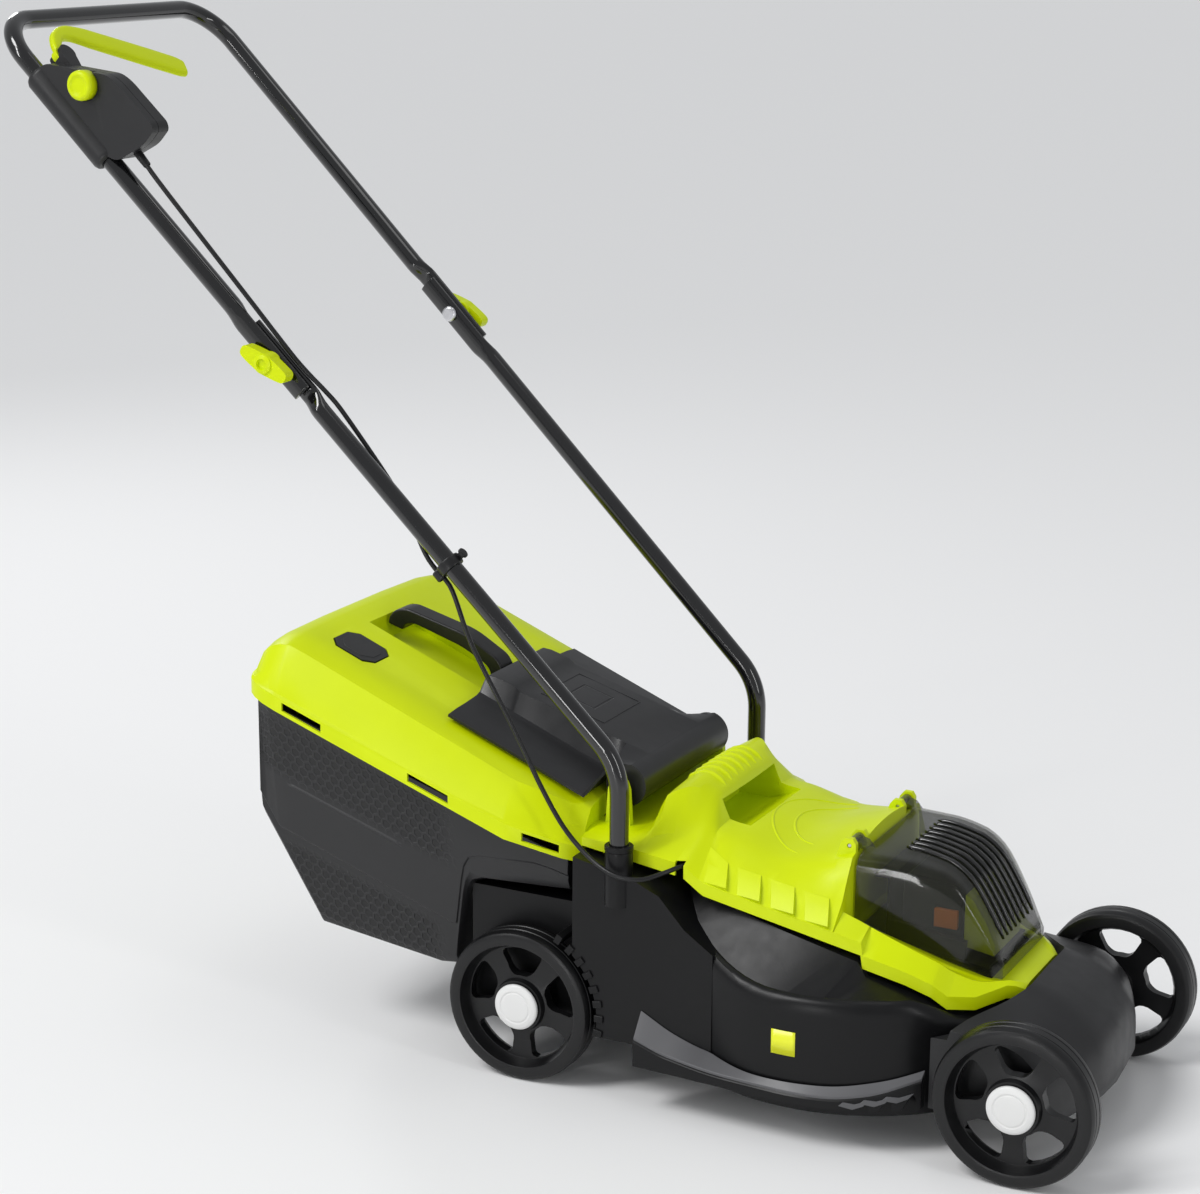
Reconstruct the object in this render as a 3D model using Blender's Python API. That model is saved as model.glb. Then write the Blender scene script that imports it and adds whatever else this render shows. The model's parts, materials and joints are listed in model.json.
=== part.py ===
"""A small battery push mower: deck, wheels, motor, battery bay, grass box and folding handle.

Metres, +X forward, +Y to the mower's left, +Z up. Shapes are drawn in the axle frame, whose
origin is on the ground under the rear axle, and every object is then moved by ORIGIN_SHIFT,
so that the finished mower stands with the world origin under the middle of its box.
"""

import math

import bmesh
import bpy
from mathutils import Matrix, Vector

# Driving dimensions
WHEELBASE = 0.512
WHEEL_RADIUS = 0.0778
WHEEL_WIDTH = 0.033
WHEEL_OUTER_Y = 0.1816
AXLE_RADIUS = 0.0045
TUBE_RADIUS = 0.0095
LEG_X = 0.104
LEG_BOTTOM_Y = 0.1646
LEG_TOP_Y = 0.1828
BEND_Z = 0.3391
HANDLE_SLOPE = math.radians(44.34)
HANDLE_LENGTH = 0.9704
FOLD_AT = 0.52
HUB_X = 0.29
DECK_RADIUS = 0.19
DECK_WALL = 0.003
SKIRT_Z = 0.036
BLADE_Z = 0.060
PAN_Z = 0.1460
GAP = 0.0004
ORIGIN_SHIFT = Vector((0.00483, 0.0, 0.0))

WHEEL_INNER_Y = WHEEL_OUTER_Y - WHEEL_WIDTH
SIDES = (("right", -1), ("left", 1))

# Handle frame: s runs up the handle from the lower bend, n is square to the handle's plane
ALONG = Vector((-math.cos(HANDLE_SLOPE), 0, math.sin(HANDLE_SLOPE)))
NORMAL = Vector((math.sin(HANDLE_SLOPE), 0, math.cos(HANDLE_SLOPE)))
BEND = Vector((LEG_X, 0, BEND_Z))


def handle_point(s, y, n=0.0):
    return BEND + ALONG * s + NORMAL * n + Vector((0, y, 0))


def leg_half_width(s):
    return LEG_BOTTOM_Y + (LEG_TOP_Y - LEG_BOTTOM_Y) * max(s, 0) / HANDLE_LENGTH


# ---------------------------------------------------------------- making objects


def clear_scene():
    for obj in list(bpy.data.objects):
        bpy.data.objects.remove(obj, do_unlink=True)


def material(name, colour, roughness, metallic=0.0, alpha=1.0):
    made = bpy.data.materials.new(name)
    made.use_nodes = True
    shader = made.node_tree.nodes["Principled BSDF"]
    shader.inputs["Base Color"].default_value = (*colour, 1)
    shader.inputs["Roughness"].default_value = roughness
    shader.inputs["Metallic"].default_value = metallic
    shader.inputs["Alpha"].default_value = alpha
    made.diffuse_color = (*colour, alpha)
    return made


def add(name, bm, mat=None, pivot=(0, 0, 0), smooth=True, outward=True):
    """Links a bmesh, drawn in the axle frame, as an object whose origin is at the pivot."""
    if outward:
        bmesh.ops.recalc_face_normals(bm, faces=bm.faces)
        if bm.calc_volume(signed=True) < 0:
            bmesh.ops.reverse_faces(bm, faces=bm.faces)
    bmesh.ops.translate(bm, verts=bm.verts, vec=-Vector(pivot))
    mesh = bpy.data.meshes.new(name)
    bm.to_mesh(mesh)
    bm.free()
    if smooth:
        mesh.shade_smooth()
        mesh.set_sharp_from_angle(angle=math.radians(35))
    if mat:
        mesh.materials.append(mat)
    obj = bpy.data.objects.new(name, mesh)
    obj.location = Vector(pivot) + ORIGIN_SHIFT
    bpy.context.scene.collection.objects.link(obj)
    return obj


def helper(name, bm):
    """A hidden shape that a Boolean uses."""
    obj = add("aid_" + name, bm, smooth=False)
    obj.hide_render = True
    obj.display_type = "WIRE"
    return obj


def combine(obj, operation, *helpers):
    for other in helpers:
        modifier = obj.modifiers.new(operation.lower() + "_" + other.name, "BOOLEAN")
        modifier.operation = operation
        modifier.solver = "EXACT"
        modifier.object = other
    return obj


# ---------------------------------------------------------------- basic shapes


def loft(rings, closed_ends=True):
    """Skins rings of equal length. Each ring is a closed loop of points."""
    bm = bmesh.new()
    made = [[bm.verts.new(p) for p in ring] for ring in rings]
    count = len(made[0])
    for first, second in zip(made, made[1:]):
        for i in range(count):
            j = (i + 1) % count
            bm.faces.new((first[i], first[j], second[j], second[i]))
    if closed_ends:
        bm.faces.new(made[0])
        bm.faces.new(list(reversed(made[-1])))
    return bm


def loft_loop(rings):
    """Skins rings whose last joins the first, as in a ring-shaped body."""
    bm = loft(rings, closed_ends=False)
    bm.verts.ensure_lookup_table()
    count = len(rings[0])
    last = (len(rings) - 1) * count
    for i in range(count):
        j = (i + 1) % count
        bm.faces.new((bm.verts[last + i], bm.verts[last + j], bm.verts[j], bm.verts[i]))
    return bm


def add_shell(name, rings, thickness, mat, pivot=(0, 0, 0), first_wall=True, last_wall=True):
    """A thin-walled cover. Each ring is an open section from the right rim round to the left."""
    bm = bmesh.new()
    made = [[bm.verts.new(p) for p in ring] for ring in rings]
    for first, second in zip(made, made[1:]):
        for a, b, c, d in zip(first, first[1:], second[1:], second):
            bm.faces.new((a, b, c, d))
    if first_wall:
        bm.faces.new(list(reversed(made[0])))
    if last_wall:
        bm.faces.new(made[-1])
    bm.normal_update()
    middle = sum((v.co for v in bm.verts), Vector()) / len(bm.verts)
    faced = sum((f.calc_center_median() - middle).dot(f.normal) * f.calc_area() for f in bm.faces)
    if faced < 0:
        bmesh.ops.reverse_faces(bm, faces=bm.faces)
    obj = add(name, bm, mat, pivot, outward=False)
    solidify = obj.modifiers.new("wall", "SOLIDIFY")
    solidify.thickness = thickness
    solidify.offset = -1
    solidify.use_even_offset = True
    solidify.use_quality_normals = True
    return obj


def ribbon(points, widths):
    """Outline of a flat band of varying half width along a line of (s, y) points."""
    left, right = [], []
    for i, (a, b) in enumerate(points):
        before = Vector(points[max(i - 1, 0)])
        after = Vector(points[min(i + 1, len(points) - 1)])
        ahead = (after - before).normalized()
        left.append((a - ahead.y * widths[i], b + ahead.x * widths[i]))
        right.append((a + ahead.y * widths[i], b - ahead.x * widths[i]))
    return left + right[::-1]


def prism(loop, vector):
    vector = Vector(vector)
    points = [Vector(p) for p in loop]
    return loft([points, [p + vector for p in points]])


def side_prism(profile, y_low, y_high):
    """An (x, z) profile drawn across the mower from y_low to y_high."""
    return prism([(x, y_low, z) for x, z in profile], (0, y_high - y_low, 0))


def block(low, high):
    (x0, y0, z0), (x1, y1, z1) = low, high
    return prism([(x0, y0, z0), (x1, y0, z0), (x1, y1, z0), (x0, y1, z0)], (0, 0, z1 - z0))


def frame_of(direction):
    along = Vector(direction).normalized()
    side = Vector((0, 0, 1)) if abs(along.z) < 0.9 else Vector((1, 0, 0))
    first = along.cross(side).normalized()
    return first, along.cross(first).normalized(), along


def circle(centre, direction, radius, sides):
    first, second, _ = frame_of(direction)
    turn = 2 * math.pi / sides
    return [
        Vector(centre) + first * radius * math.cos(i * turn) + second * radius * math.sin(i * turn)
        for i in range(sides)
    ]


def turned(start, direction, profile, sides):
    """A turned solid: profile is (radius, distance along the axis), from end to end."""
    _, _, along = frame_of(direction)
    return loft([circle(Vector(start) + along * h, direction, r, sides) for r, h in profile])


def turned_ring(start, direction, profile, sides):
    """A turned ring: the profile is a closed loop that stays off the axis."""
    _, _, along = frame_of(direction)
    return loft_loop([circle(Vector(start) + along * h, direction, r, sides) for r, h in profile])


def rod(start, end, radius, sides=16):
    direction = Vector(end) - Vector(start)
    return turned(start, direction, [(radius, 0), (radius, direction.length)], sides)


def between(x, table):
    """Reads a value from (x, value) pairs by straight lines."""
    if x <= table[0][0]:
        return table[0][1]
    for (x0, a), (x1, b) in zip(table, table[1:]):
        if x <= x1:
            return a + (b - a) * (x - x0) / (x1 - x0)
    return table[-1][1]


# ---------------------------------------------------------------- wheels and axles


def wheel_mesh(side):
    """A moulded wheel with a ribbed-edge tyre band, a dished web and a hub, turned about Y."""
    inner = side * WHEEL_INNER_Y
    r = WHEEL_RADIUS
    w = WHEEL_WIDTH
    profile = [
        (AXLE_RADIUS + GAP, 0.002),
        (0.014, 0.002),
        (0.016, 0.012),
        (0.059, 0.012),
        (0.063, 0.001),
        (r - 0.005, 0.0),
        (r, 0.005),
        (r, w - 0.005),
        (r - 0.005, w),
        (0.063, w - 0.001),
        (0.059, w - 0.013),
        (0.025, w - 0.010),
        (0.024, w - 0.0035),
        (AXLE_RADIUS + GAP, w - 0.0035),
    ]
    return turned_ring((0, inner, 0), (0, side, 0), profile, 32)


def make_wheel(end, axle_x, name, side, mats):
    bm = wheel_mesh(side)
    centre = Vector((axle_x, 0, WHEEL_RADIUS))
    bmesh.ops.translate(bm, verts=bm.verts, vec=centre)
    wheel = add(f"wheel_{end}_{name}", bm, mats["tyre"], pivot=centre)
    for i in range(5):
        loop = []
        for radius, degrees in ((0.031, -13), (0.037, -23), (0.053, -25), (0.0565, -20), (0.0565, 20),
            (0.053, 25), (0.037, 23), (0.031, 13)):
            turn = 2 * math.pi * (i + 0.25) / 5 + math.radians(degrees)
            loop.append(centre + Vector((math.cos(turn) * radius, side * 0.14,
                math.sin(turn) * radius)))
        opening = prism(loop, (0, side * 0.05, 0))
        combine(wheel, "DIFFERENCE", helper(f"opening_{end}_{name}_{i}", opening))
    cap_start = centre + Vector((0, side * (WHEEL_OUTER_Y - 0.0030), 0))
    cap = turned(cap_start, (0, side, 0), [(0.0235, 0), (0.0235, 0.002), (0.021, 0.0042),
        (0.012, 0.0052)], 28)
    add(f"hub_cap_{end}_{name}", cap, mats["white"], pivot=centre)


def make_running_gear(mats):
    for end, axle_x in (("rear", 0.0), ("front", WHEELBASE)):
        reach = WHEEL_OUTER_Y - 0.0037
        axle = rod((axle_x, -reach, WHEEL_RADIUS), (axle_x, reach, WHEEL_RADIUS), AXLE_RADIUS, 16)
        add(f"axle_{end}", axle, mats["steel"], pivot=(axle_x, 0, WHEEL_RADIUS))
        for name, side in SIDES:
            make_wheel(end, axle_x, name, side, mats)


# ---------------------------------------------------------------- deck

COVER_RIM = [(0.056, 0.247), (0.165, 0.232), (0.185, 0.217), (0.344, 0.181), (0.346, 0.168),
    (0.386, 0.156)]
COVER_RIM += [(0.410, 0.146), (0.424, 0.134), (0.446, 0.131), (0.468, 0.136), (0.480, 0.131)]
COVER_HALF = [(0.056, 0.149), (0.165, 0.149), (0.245, 0.143), (0.3165, 0.137), (0.346, 0.1345),
    (0.386, 0.126)]
COVER_HALF += [(0.410, 0.120), (0.424, 0.113), (0.446, 0.095), (0.468, 0.062), (0.480, 0.050)]
RIDGE = [(0.280, 0.150), (0.395, 0.150), (0.412, 0.143), (0.440, 0.124), (0.480, 0.122)]


def ridge_height(x):
    return min(between(x, RIDGE) + 3.56 * max(0.0, 0.28 - x) ** 2, 0.244)


def plinth_point(turn, scale, z):
    """A point of the raised plinth that the motor cover stands on, a rounded oblong in plan."""
    c, s = math.cos(turn), math.sin(turn)
    reach = (abs(c / 0.160) ** 4 + abs(s / 0.138) ** 4) ** -0.25 * scale
    from_hub = Vector((0.315 - HUB_X + reach * c, reach * s))
    limit = 0.177 * scale
    if from_hub.length > limit:
        from_hub *= limit / from_hub.length
    x, y = HUB_X + from_hub.x, from_hub.y
    return Vector((x, y, z(x)))


def plinth_height(x):
    return min(between(x, COVER_RIM) - 0.006, 0.236)


def deck_rings(inset):
    """Rings of the round blade housing from its lower rim to its top, moved in by inset."""
    rings = []
    count = 44
    radius = DECK_RADIUS - inset
    walls = [
        (radius - 0.004, lambda x: SKIRT_Z),
        (radius - 0.002, lambda x: 0.062),
        (radius - 0.001, lambda x: 0.072),
        (radius, lambda x: ridge_height(x) - 0.012 - inset),
        (radius - 0.006, lambda x: ridge_height(x) - inset),
    ]
    turns = [2 * math.pi * i / count for i in range(count)]
    for r, z in walls:
        rings.append([Vector((HUB_X + r * math.cos(t), r * math.sin(t),
            z(HUB_X + r * math.cos(t)))) for t in turns])
    wall = inset * 7
    rings.append([plinth_point(t, 1 - wall, lambda x: plinth_height(x) - inset) for t in turns])
    rings.append([plinth_point(t, 0.90 + wall, lambda x: plinth_height(x) - inset) for t in turns])
    rings.append([plinth_point(t, 0.80 + wall, lambda x: PAN_Z - inset) for t in turns])
    if inset:
        low = rings[0]
        rings.insert(0, [Vector((p.x, p.y, SKIRT_Z - 0.02)) for p in low])
    return rings


def make_deck(mats):
    deck = add("deck", loft(deck_rings(0.0)), mats["deck"])
    tail = [(-0.07, 0.052), (-0.07, 0.184), (0.05, 0.184), (0.20, 0.150), (0.20, 0.052)]
    shoulder = [(0.0575, 0.060), (0.0575, 0.2425), (0.119, 0.2310), (0.150, 0.2180), (0.178, 0.1880),
        (0.208, 0.1680), (0.208, 0.060)]
    combine(
        deck,
        "UNION",
        helper("tail", side_prism(tail, -0.142, 0.142)),
        helper("shoulder", side_prism(shoulder, -0.1715, 0.1715)),
    )
    for name, side in SIDES:
        y = side * LEG_BOTTOM_Y
        collar = turned((LEG_X, y, 0.20), (0, 0, 1), [(0.0135, 0), (0.0135, 0.058), (0.0125, 0.061)],
            20)
        combine(deck, "UNION", helper(f"collar_{name}", collar))
    combine(deck, "DIFFERENCE", helper("blade_space", loft(deck_rings(DECK_WALL))))
    chute = [(0.215, 0.022), (0.215, 0.146), (0.152, 0.196), (0.118, 0.2270), (0.050, 0.2395),
        (0.03, 0.2395)]
    chute += [(0.03, 0.1940), (0.075, 0.188), (0.134, 0.110), (0.154, 0.022)]
    rear_space = [(-0.067, 0.040), (-0.067, 0.181), (0.066, 0.181), (0.122, 0.108), (0.141, 0.040)]
    combine(
        deck,
        "DIFFERENCE",
        helper("chute", side_prism(chute, -0.096, 0.096)),
        helper("rear_space", side_prism(rear_space, -0.096, 0.096)),
    )
    for name, side in SIDES:
        side_space = [(-0.067, 0.040), (-0.067, 0.181), (0.053, 0.181), (0.053, 0.2390),
            (0.119, 0.2275), (0.150, 0.2145), (0.170, 0.19), (0.170, 0.040)]
        low, high = sorted((side * 0.099, side * 0.139))
        combine(deck, "DIFFERENCE", helper(f"side_space_{name}", side_prism(side_space, low, high)))
        outer_space = [(0.0925, 0.040), (0.0925, 0.190), (0.170, 0.190), (0.204, 0.164), (0.204, 0.040)]
        low, high = sorted((side * 0.138, side * 0.1685))
        combine(deck, "DIFFERENCE", helper(f"outer_space_{name}", side_prism(outer_space, low, high)))
        low_y, high_y = sorted((side * 0.1425, side * 0.20))
        well = rod((0, low_y, WHEEL_RADIUS), (0, high_y, WHEEL_RADIUS), WHEEL_RADIUS + 0.007, 40)
        combine(deck, "DIFFERENCE", helper(f"wheel_well_{name}", well))
        bore = rod((LEG_X, side * LEG_BOTTOM_Y, 0.205), (LEG_X, side * LEG_BOTTOM_Y, 0.30),
            TUBE_RADIUS + GAP, 20)
        combine(deck, "DIFFERENCE", helper(f"socket_{name}", bore))
    slot = AXLE_RADIUS + 0.0012
    axle_slot = [(-slot, 0.0), (-slot, WHEEL_RADIUS + slot - 0.002), (0, WHEEL_RADIUS + slot),
        (slot, WHEEL_RADIUS + slot - 0.002), (slot, 0.0)]
    shaft_hole = rod((HUB_X, 0, 0.12), (HUB_X, 0, 0.20), 0.014, 20)
    combine(
        deck,
        "DIFFERENCE",
        helper("axle_slot", side_prism(axle_slot, -0.16, 0.16)),
        helper("shaft_hole", shaft_hole),
    )


HOUSING_SECTIONS = [
    (0.0000, [(0.430, 0.118), (0.4835, 0.120), (0.4860, 0.150), (0.523, 0.139), (0.552, 0.117),
        (0.564, 0.096), (0.566, 0.058), (0.560, 0.044)]),
    (0.0500, [(0.430, 0.118), (0.4835, 0.120), (0.4860, 0.149), (0.520, 0.138), (0.548, 0.116),
        (0.560, 0.096), (0.562, 0.058), (0.556, 0.044)]),
    (0.0800, [(0.425, 0.117), (0.4700, 0.119), (0.4730, 0.141), (0.512, 0.134), (0.536, 0.118),
        (0.551, 0.094), (0.554, 0.058), (0.548, 0.044)]),
    (0.1200, [(0.420, 0.116), (0.4450, 0.118), (0.4480, 0.132), (0.502, 0.127), (0.524, 0.113),
        (0.537, 0.092), (0.541, 0.058), (0.536, 0.044)]),
    (0.1410, [(0.415, 0.115), (0.4350, 0.116), (0.4380, 0.126), (0.494, 0.120), (0.516, 0.107),
        (0.529, 0.089), (0.533, 0.058), (0.528, 0.044)]),
]


def make_front_housing(mats):
    """The bowed grey housing between the front wheels, open below, round the front axle."""
    rings = []
    for y, profile in HOUSING_SECTIONS[:0:-1]:
        rings.append([Vector((x, -y, z)) for x, z in [(0.405, 0.044)] + profile])
    for y, profile in HOUSING_SECTIONS:
        rings.append([Vector((x, y, z)) for x, z in [(0.405, 0.044)] + profile])
    housing = add_shell("front_housing", rings, 0.003, mats["charcoal"])
    drum = rod((HUB_X, 0, 0.0), (HUB_X, 0, 0.2), DECK_RADIUS + 0.0012, 88)
    x, slot = WHEELBASE, AXLE_RADIUS + 0.0012
    top = WHEEL_RADIUS + slot
    axle_slot = [(x - slot, 0.0), (x - slot, top - 0.002), (x, top), (x + slot, top - 0.002),
        (x + slot, 0.0)]
    combine(
        housing,
        "DIFFERENCE",
        helper("drum_front", drum),
        helper("front_slot", side_prism(axle_slot, -0.16, 0.16)),
    )


COMB_TOP = [(0.1335, 0.098), (0.17, 0.080), (0.205, 0.070), (0.26, 0.064), (0.33, 0.066),
    (0.383, 0.074), (0.416, 0.083)]
COMB_EDGE = [(0.1335, 0.073), (0.17, 0.063), (0.235, 0.0565), (0.33, 0.0555), (0.37, 0.060),
    (0.416, 0.075)]


def round_side(x, radius):
    return math.sqrt(radius ** 2 - (x - HUB_X) ** 2)


def make_comb(name, side, mats):
    """The grass comb: a ledge along the side of the blade housing with forward teeth."""
    rings = []
    for x in (0.1335, 0.152, 0.17, 0.19, 0.207, 0.225, 0.25, 0.27, 0.29, 0.31, 0.33, 0.35, 0.37, 0.39,
        0.404, 0.416):
        inner_y = 0.1722 if x < 0.2085 else round_side(x, DECK_RADIUS + 0.0008)
        outer_y = 0.1905 + 0.008 * (x - 0.1335) / 0.1565 if x < HUB_X else round_side(x, 0.1985)
        inner_y = max(inner_y, 0.1722) if x < 0.225 else inner_y
        ahead = 0.014 if x < 0.14 else 0.0
        top, edge = between(x, COMB_TOP), between(x, COMB_EDGE)
        section = [(x + ahead, inner_y, top), (x, outer_y, edge), (x, outer_y, 0.0465),
            (x, inner_y, 0.0465)]
        rings.append([Vector((a, side * b, c)) for a, b, c in section])
    comb = add(f"grass_comb_{name}", loft(rings), mats["comb"])
    low, high = sorted((side * 0.10, side * 0.21))
    for i in range(3):
        x = 0.362 + 0.019 * i
        lift = 0.004 * i
        notch = [(x, 0.0440), (x + 0.0120, 0.0440), (x + 0.0125, 0.0500 + lift),
            (x + 0.0090, 0.0570 + lift)]
        combine(comb, "DIFFERENCE", helper(f"notch_{name}_{i}", side_prism(notch, low, high)))


# ---------------------------------------------------------------- motor and blade


def make_motor(mats):
    hub = Vector((HUB_X, 0, 0))
    up = (0, 0, 1)

    def ring(name, mat, profile, sides=32):
        add(name, turned_ring(hub, up, profile, sides), mat, pivot=hub)

    ring("motor_base", mats["steel"], [(0.013, 0.1465), (0.054, 0.1465), (0.054, 0.1500),
        (0.013, 0.1500)])
    can = [(0.0465, 0.1505), (0.0465, 0.1815), (0.042, 0.1860), (0.008, 0.1860), (0.008, 0.1830)]
    can += [(0.040, 0.1830), (0.0435, 0.1795), (0.0435, 0.1505)]
    ring("motor_can", mats["alloy"], can)
    ring("stator", mats["copper"], [(0.030, 0.156), (0.043, 0.156), (0.043, 0.176), (0.030, 0.176)])
    ring("rotor", mats["steel"], [(0.0053, 0.154), (0.0285, 0.154), (0.0285, 0.178), (0.0053, 0.178)])
    shaft = turned((HUB_X, 0, 0.0668), up, [(0.005, 0), (0.005, 0.1180), (0.004, 0.1190)], 16)
    add("motor_shaft", shaft, mats["steel"], pivot=hub)
    carrier = [(0.0053, 0.0668), (0.024, 0.0668), (0.024, 0.071), (0.014, 0.075), (0.012, 0.094),
        (0.0053, 0.094)]
    ring("blade_carrier", mats["alloy"], carrier, 24)
    make_blade(mats)
    washer = [(0.0045, BLADE_Z - 0.0042), (0.016, BLADE_Z - 0.0042), (0.016, BLADE_Z - 0.0019),
        (0.0045, BLADE_Z - 0.0019)]
    ring("blade_washer", mats["steel"], washer, 20)
    head = [(0.0075, BLADE_Z - 0.0125), (0.0075, BLADE_Z - 0.0046), (0.0038, BLADE_Z - 0.0046),
        (0.0038, BLADE_Z + 0.0060)]
    add("blade_bolt", turned(hub, up, head, 6), mats["steel"], pivot=hub)


def make_blade(mats):
    """A flat bar with a raised wing behind each cutting edge, drilled for the bolt."""
    half, wide, thick, wing = 0.162, 0.022, 0.0030, 0.014
    stations = [(-half, wing), (-0.125, wing), (-0.095, 0), (0.095, 0), (0.125, wing), (half, wing)]
    rings = []
    for y, lift in stations:
        if y < 0:
            edge = [(-wide, 0), (0.010, 0), (wide, lift)]
        else:
            edge = [(-wide, lift), (-0.010, 0), (wide, 0)]
        low = [Vector((HUB_X + x, y, BLADE_Z + dz - thick / 2)) for x, dz in edge]
        rings.append(low + [p + Vector((0, 0, thick)) for p in reversed(low)])
    blade = add("blade", loft(rings), mats["steel"], pivot=(HUB_X, 0, 0))
    bore = rod((HUB_X, 0, BLADE_Z - 0.01), (HUB_X, 0, BLADE_Z + 0.01), 0.0046, 16)
    combine(blade, "DIFFERENCE", helper("blade_bore", bore))


# ---------------------------------------------------------------- motor cover and battery bay


def cover_section(x, shoulder, plateau, centre):
    """A cross-section of the motor cover: rim, band, shoulder, plateau, centre, and back."""
    half = between(x, COVER_HALF)
    rim = between(x, COVER_RIM)
    band = min(rim + 0.013, shoulder[1] - 0.002)
    right = [(-half, rim), (-half, band), (-shoulder[0], shoulder[1]), (-plateau[0], plateau[1])]
    right.append((-plateau[0] * 0.5, (plateau[1] + centre * 3) / 4))
    left = [(-y, z) for y, z in reversed(right)]
    return right + [(0, centre)] + left


COVER_SECTIONS = [
    (0.0560, (0.144, 0.2575), (0.120, 0.2620), 0.2620),
    (0.1030, (0.144, 0.2560), (0.120, 0.2620), 0.2620),
    (0.1140, (0.140, 0.2560), (0.108, 0.2680), 0.2690),
    (0.1260, (0.126, 0.2620), (0.103, 0.2960), 0.3010),
    (0.1430, (0.118, 0.2640), (0.088, 0.3030), 0.3075),
    (0.1660, (0.112, 0.2620), (0.070, 0.2900), 0.2940),
    (0.1760, (0.112, 0.2560), (0.088, 0.2660), 0.2700),
    (0.2000, (0.124, 0.2460), (0.090, 0.2610), 0.2670),
    (0.2450, (0.122, 0.2370), (0.088, 0.2500), 0.2570),
    (0.2850, (0.119, 0.2290), (0.089, 0.2520), 0.2660),
    (0.3160, (0.114, 0.2230), (0.091, 0.2600), 0.2740),
    (0.3172, (0.114, 0.2130), (0.095, 0.1950), 0.1950),
    (0.3440, (0.113, 0.2030), (0.094, 0.1860), 0.1860),
    (0.3860, (0.106, 0.1840), (0.090, 0.1720), 0.1720),
    (0.4100, (0.100, 0.1730), (0.084, 0.1635), 0.1635),
    (0.4240, (0.094, 0.1640), (0.079, 0.1590), 0.1590),
    (0.4460, (0.080, 0.1540), (0.070, 0.1520), 0.1520),
    (0.4680, (0.055, 0.1510), (0.046, 0.1490), 0.1490),
    (0.4800, (0.044, 0.1440), (0.036, 0.1450), 0.1450),
]


def cover_rings():
    rings = []
    for x, shoulder, plateau, centre in COVER_SECTIONS:
        rings.append([Vector((x, y, z)) for y, z in cover_section(x, shoulder, plateau, centre)])
    return rings


def make_motor_cover(mats):
    cover = add_shell("motor_cover", cover_rings(), 0.0028, mats["lime"])
    grip_space = [(0.130, 0.2500), (0.125, 0.262), (0.130, 0.274), (0.150, 0.2805), (0.180, 0.2805),
        (0.187, 0.2712), (0.1745, 0.2620), (0.165, 0.2500)]
    lining = [(0.127, 0.2470), (0.122, 0.262), (0.127, 0.277), (0.150, 0.283), (0.171, 0.281),
        (0.1745, 0.2470)]
    combine(cover, "UNION", helper("grip_lining", side_prism(lining, -0.068, 0.068)))
    combine(cover, "DIFFERENCE", helper("grip_space", side_prism(grip_space, -0.064, 0.064)))
    bay = [Vector((x, y, 0.12)) for x, y in ((0.3235, -0.085), (0.450, -0.061), (0.450, 0.061),
        (0.3235, 0.085))]
    combine(cover, "DIFFERENCE", helper("bay_opening", prism(bay, (0, 0, 0.10))))
    ear_outline = [(0.064, 0.256), (0.067, 0.298), (0.070, 0.306), (0.078, 0.310), (0.086, 0.306),
        (0.089, 0.298), (0.092, 0.256)]
    lug_outline = [(0.2960, 0.2560), (0.3005, 0.2700), (0.3045, 0.2750), (0.3125, 0.2750),
        (0.3158, 0.2700), (0.3158, 0.2560)]
    for name, side in SIDES:
        leg = rod((LEG_X, side * LEG_BOTTOM_Y, 0.20), (LEG_X, side * LEG_BOTTOM_Y, 0.30), 0.0160, 24)
        low, high = sorted((side * 0.0537, side * 0.0763))
        knuckle_slot = block((0.2985, low, 0.2600), (0.330, high, 0.30))
        low_y, high_y = sorted((side * 0.1078, side * 0.1148))
        combine(cover, "UNION", helper(f"flap_ear_{name}", side_prism(ear_outline, low_y, high_y)))
        for i, middle in enumerate((0.0505, 0.0795)):
            lug_low, lug_high = sorted((side * (middle - 0.0030), side * (middle + 0.0030)))
            combine(cover, "UNION", helper(f"lug_{name}_{i}", side_prism(lug_outline, lug_low,
                lug_high)))
        combine(cover, "DIFFERENCE", helper(f"leg_notch_{name}", leg))
        combine(cover, "DIFFERENCE", helper(f"knuckle_slot_{name}", knuckle_slot))
        pin_low, pin_high = Vector((LID_AXIS[0], side * 0.045, LID_AXIS[1])), Vector((LID_AXIS[0],
            side * 0.085, LID_AXIS[1]))
        combine(cover, "DIFFERENCE", helper(f"pin_bore_{name}", rod(pin_low, pin_high, 0.0023, 12)))
    cable_notch = block((0.1565, -0.16, 0.22), (0.1655, -0.14, 0.2475))
    flap_bore = rod((FLAP_AXIS[0], -0.13, FLAP_AXIS[1]), (FLAP_AXIS[0], 0.13, FLAP_AXIS[1]), 0.0033, 16)
    combine(
        cover,
        "DIFFERENCE",
        helper("cable_notch", cable_notch),
        helper("flap_bore", flap_bore),
    )


LID_AXIS = (0.3090, 0.2680)
FLAP_AXIS = (0.0780, 0.2980)


BATTERY_COVER_SECTIONS = [
    (0.3190, 0.0890, 0.2610, 0.1990),
    (0.3600, 0.0850, 0.2605, 0.1840),
    (0.3950, 0.0815, 0.2545, 0.1730),
    (0.4150, 0.0780, 0.2430, 0.1660),
    (0.4440, 0.0690, 0.2020, 0.1565),
    (0.4610, 0.0630, 0.1670, 0.1530),
]


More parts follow.
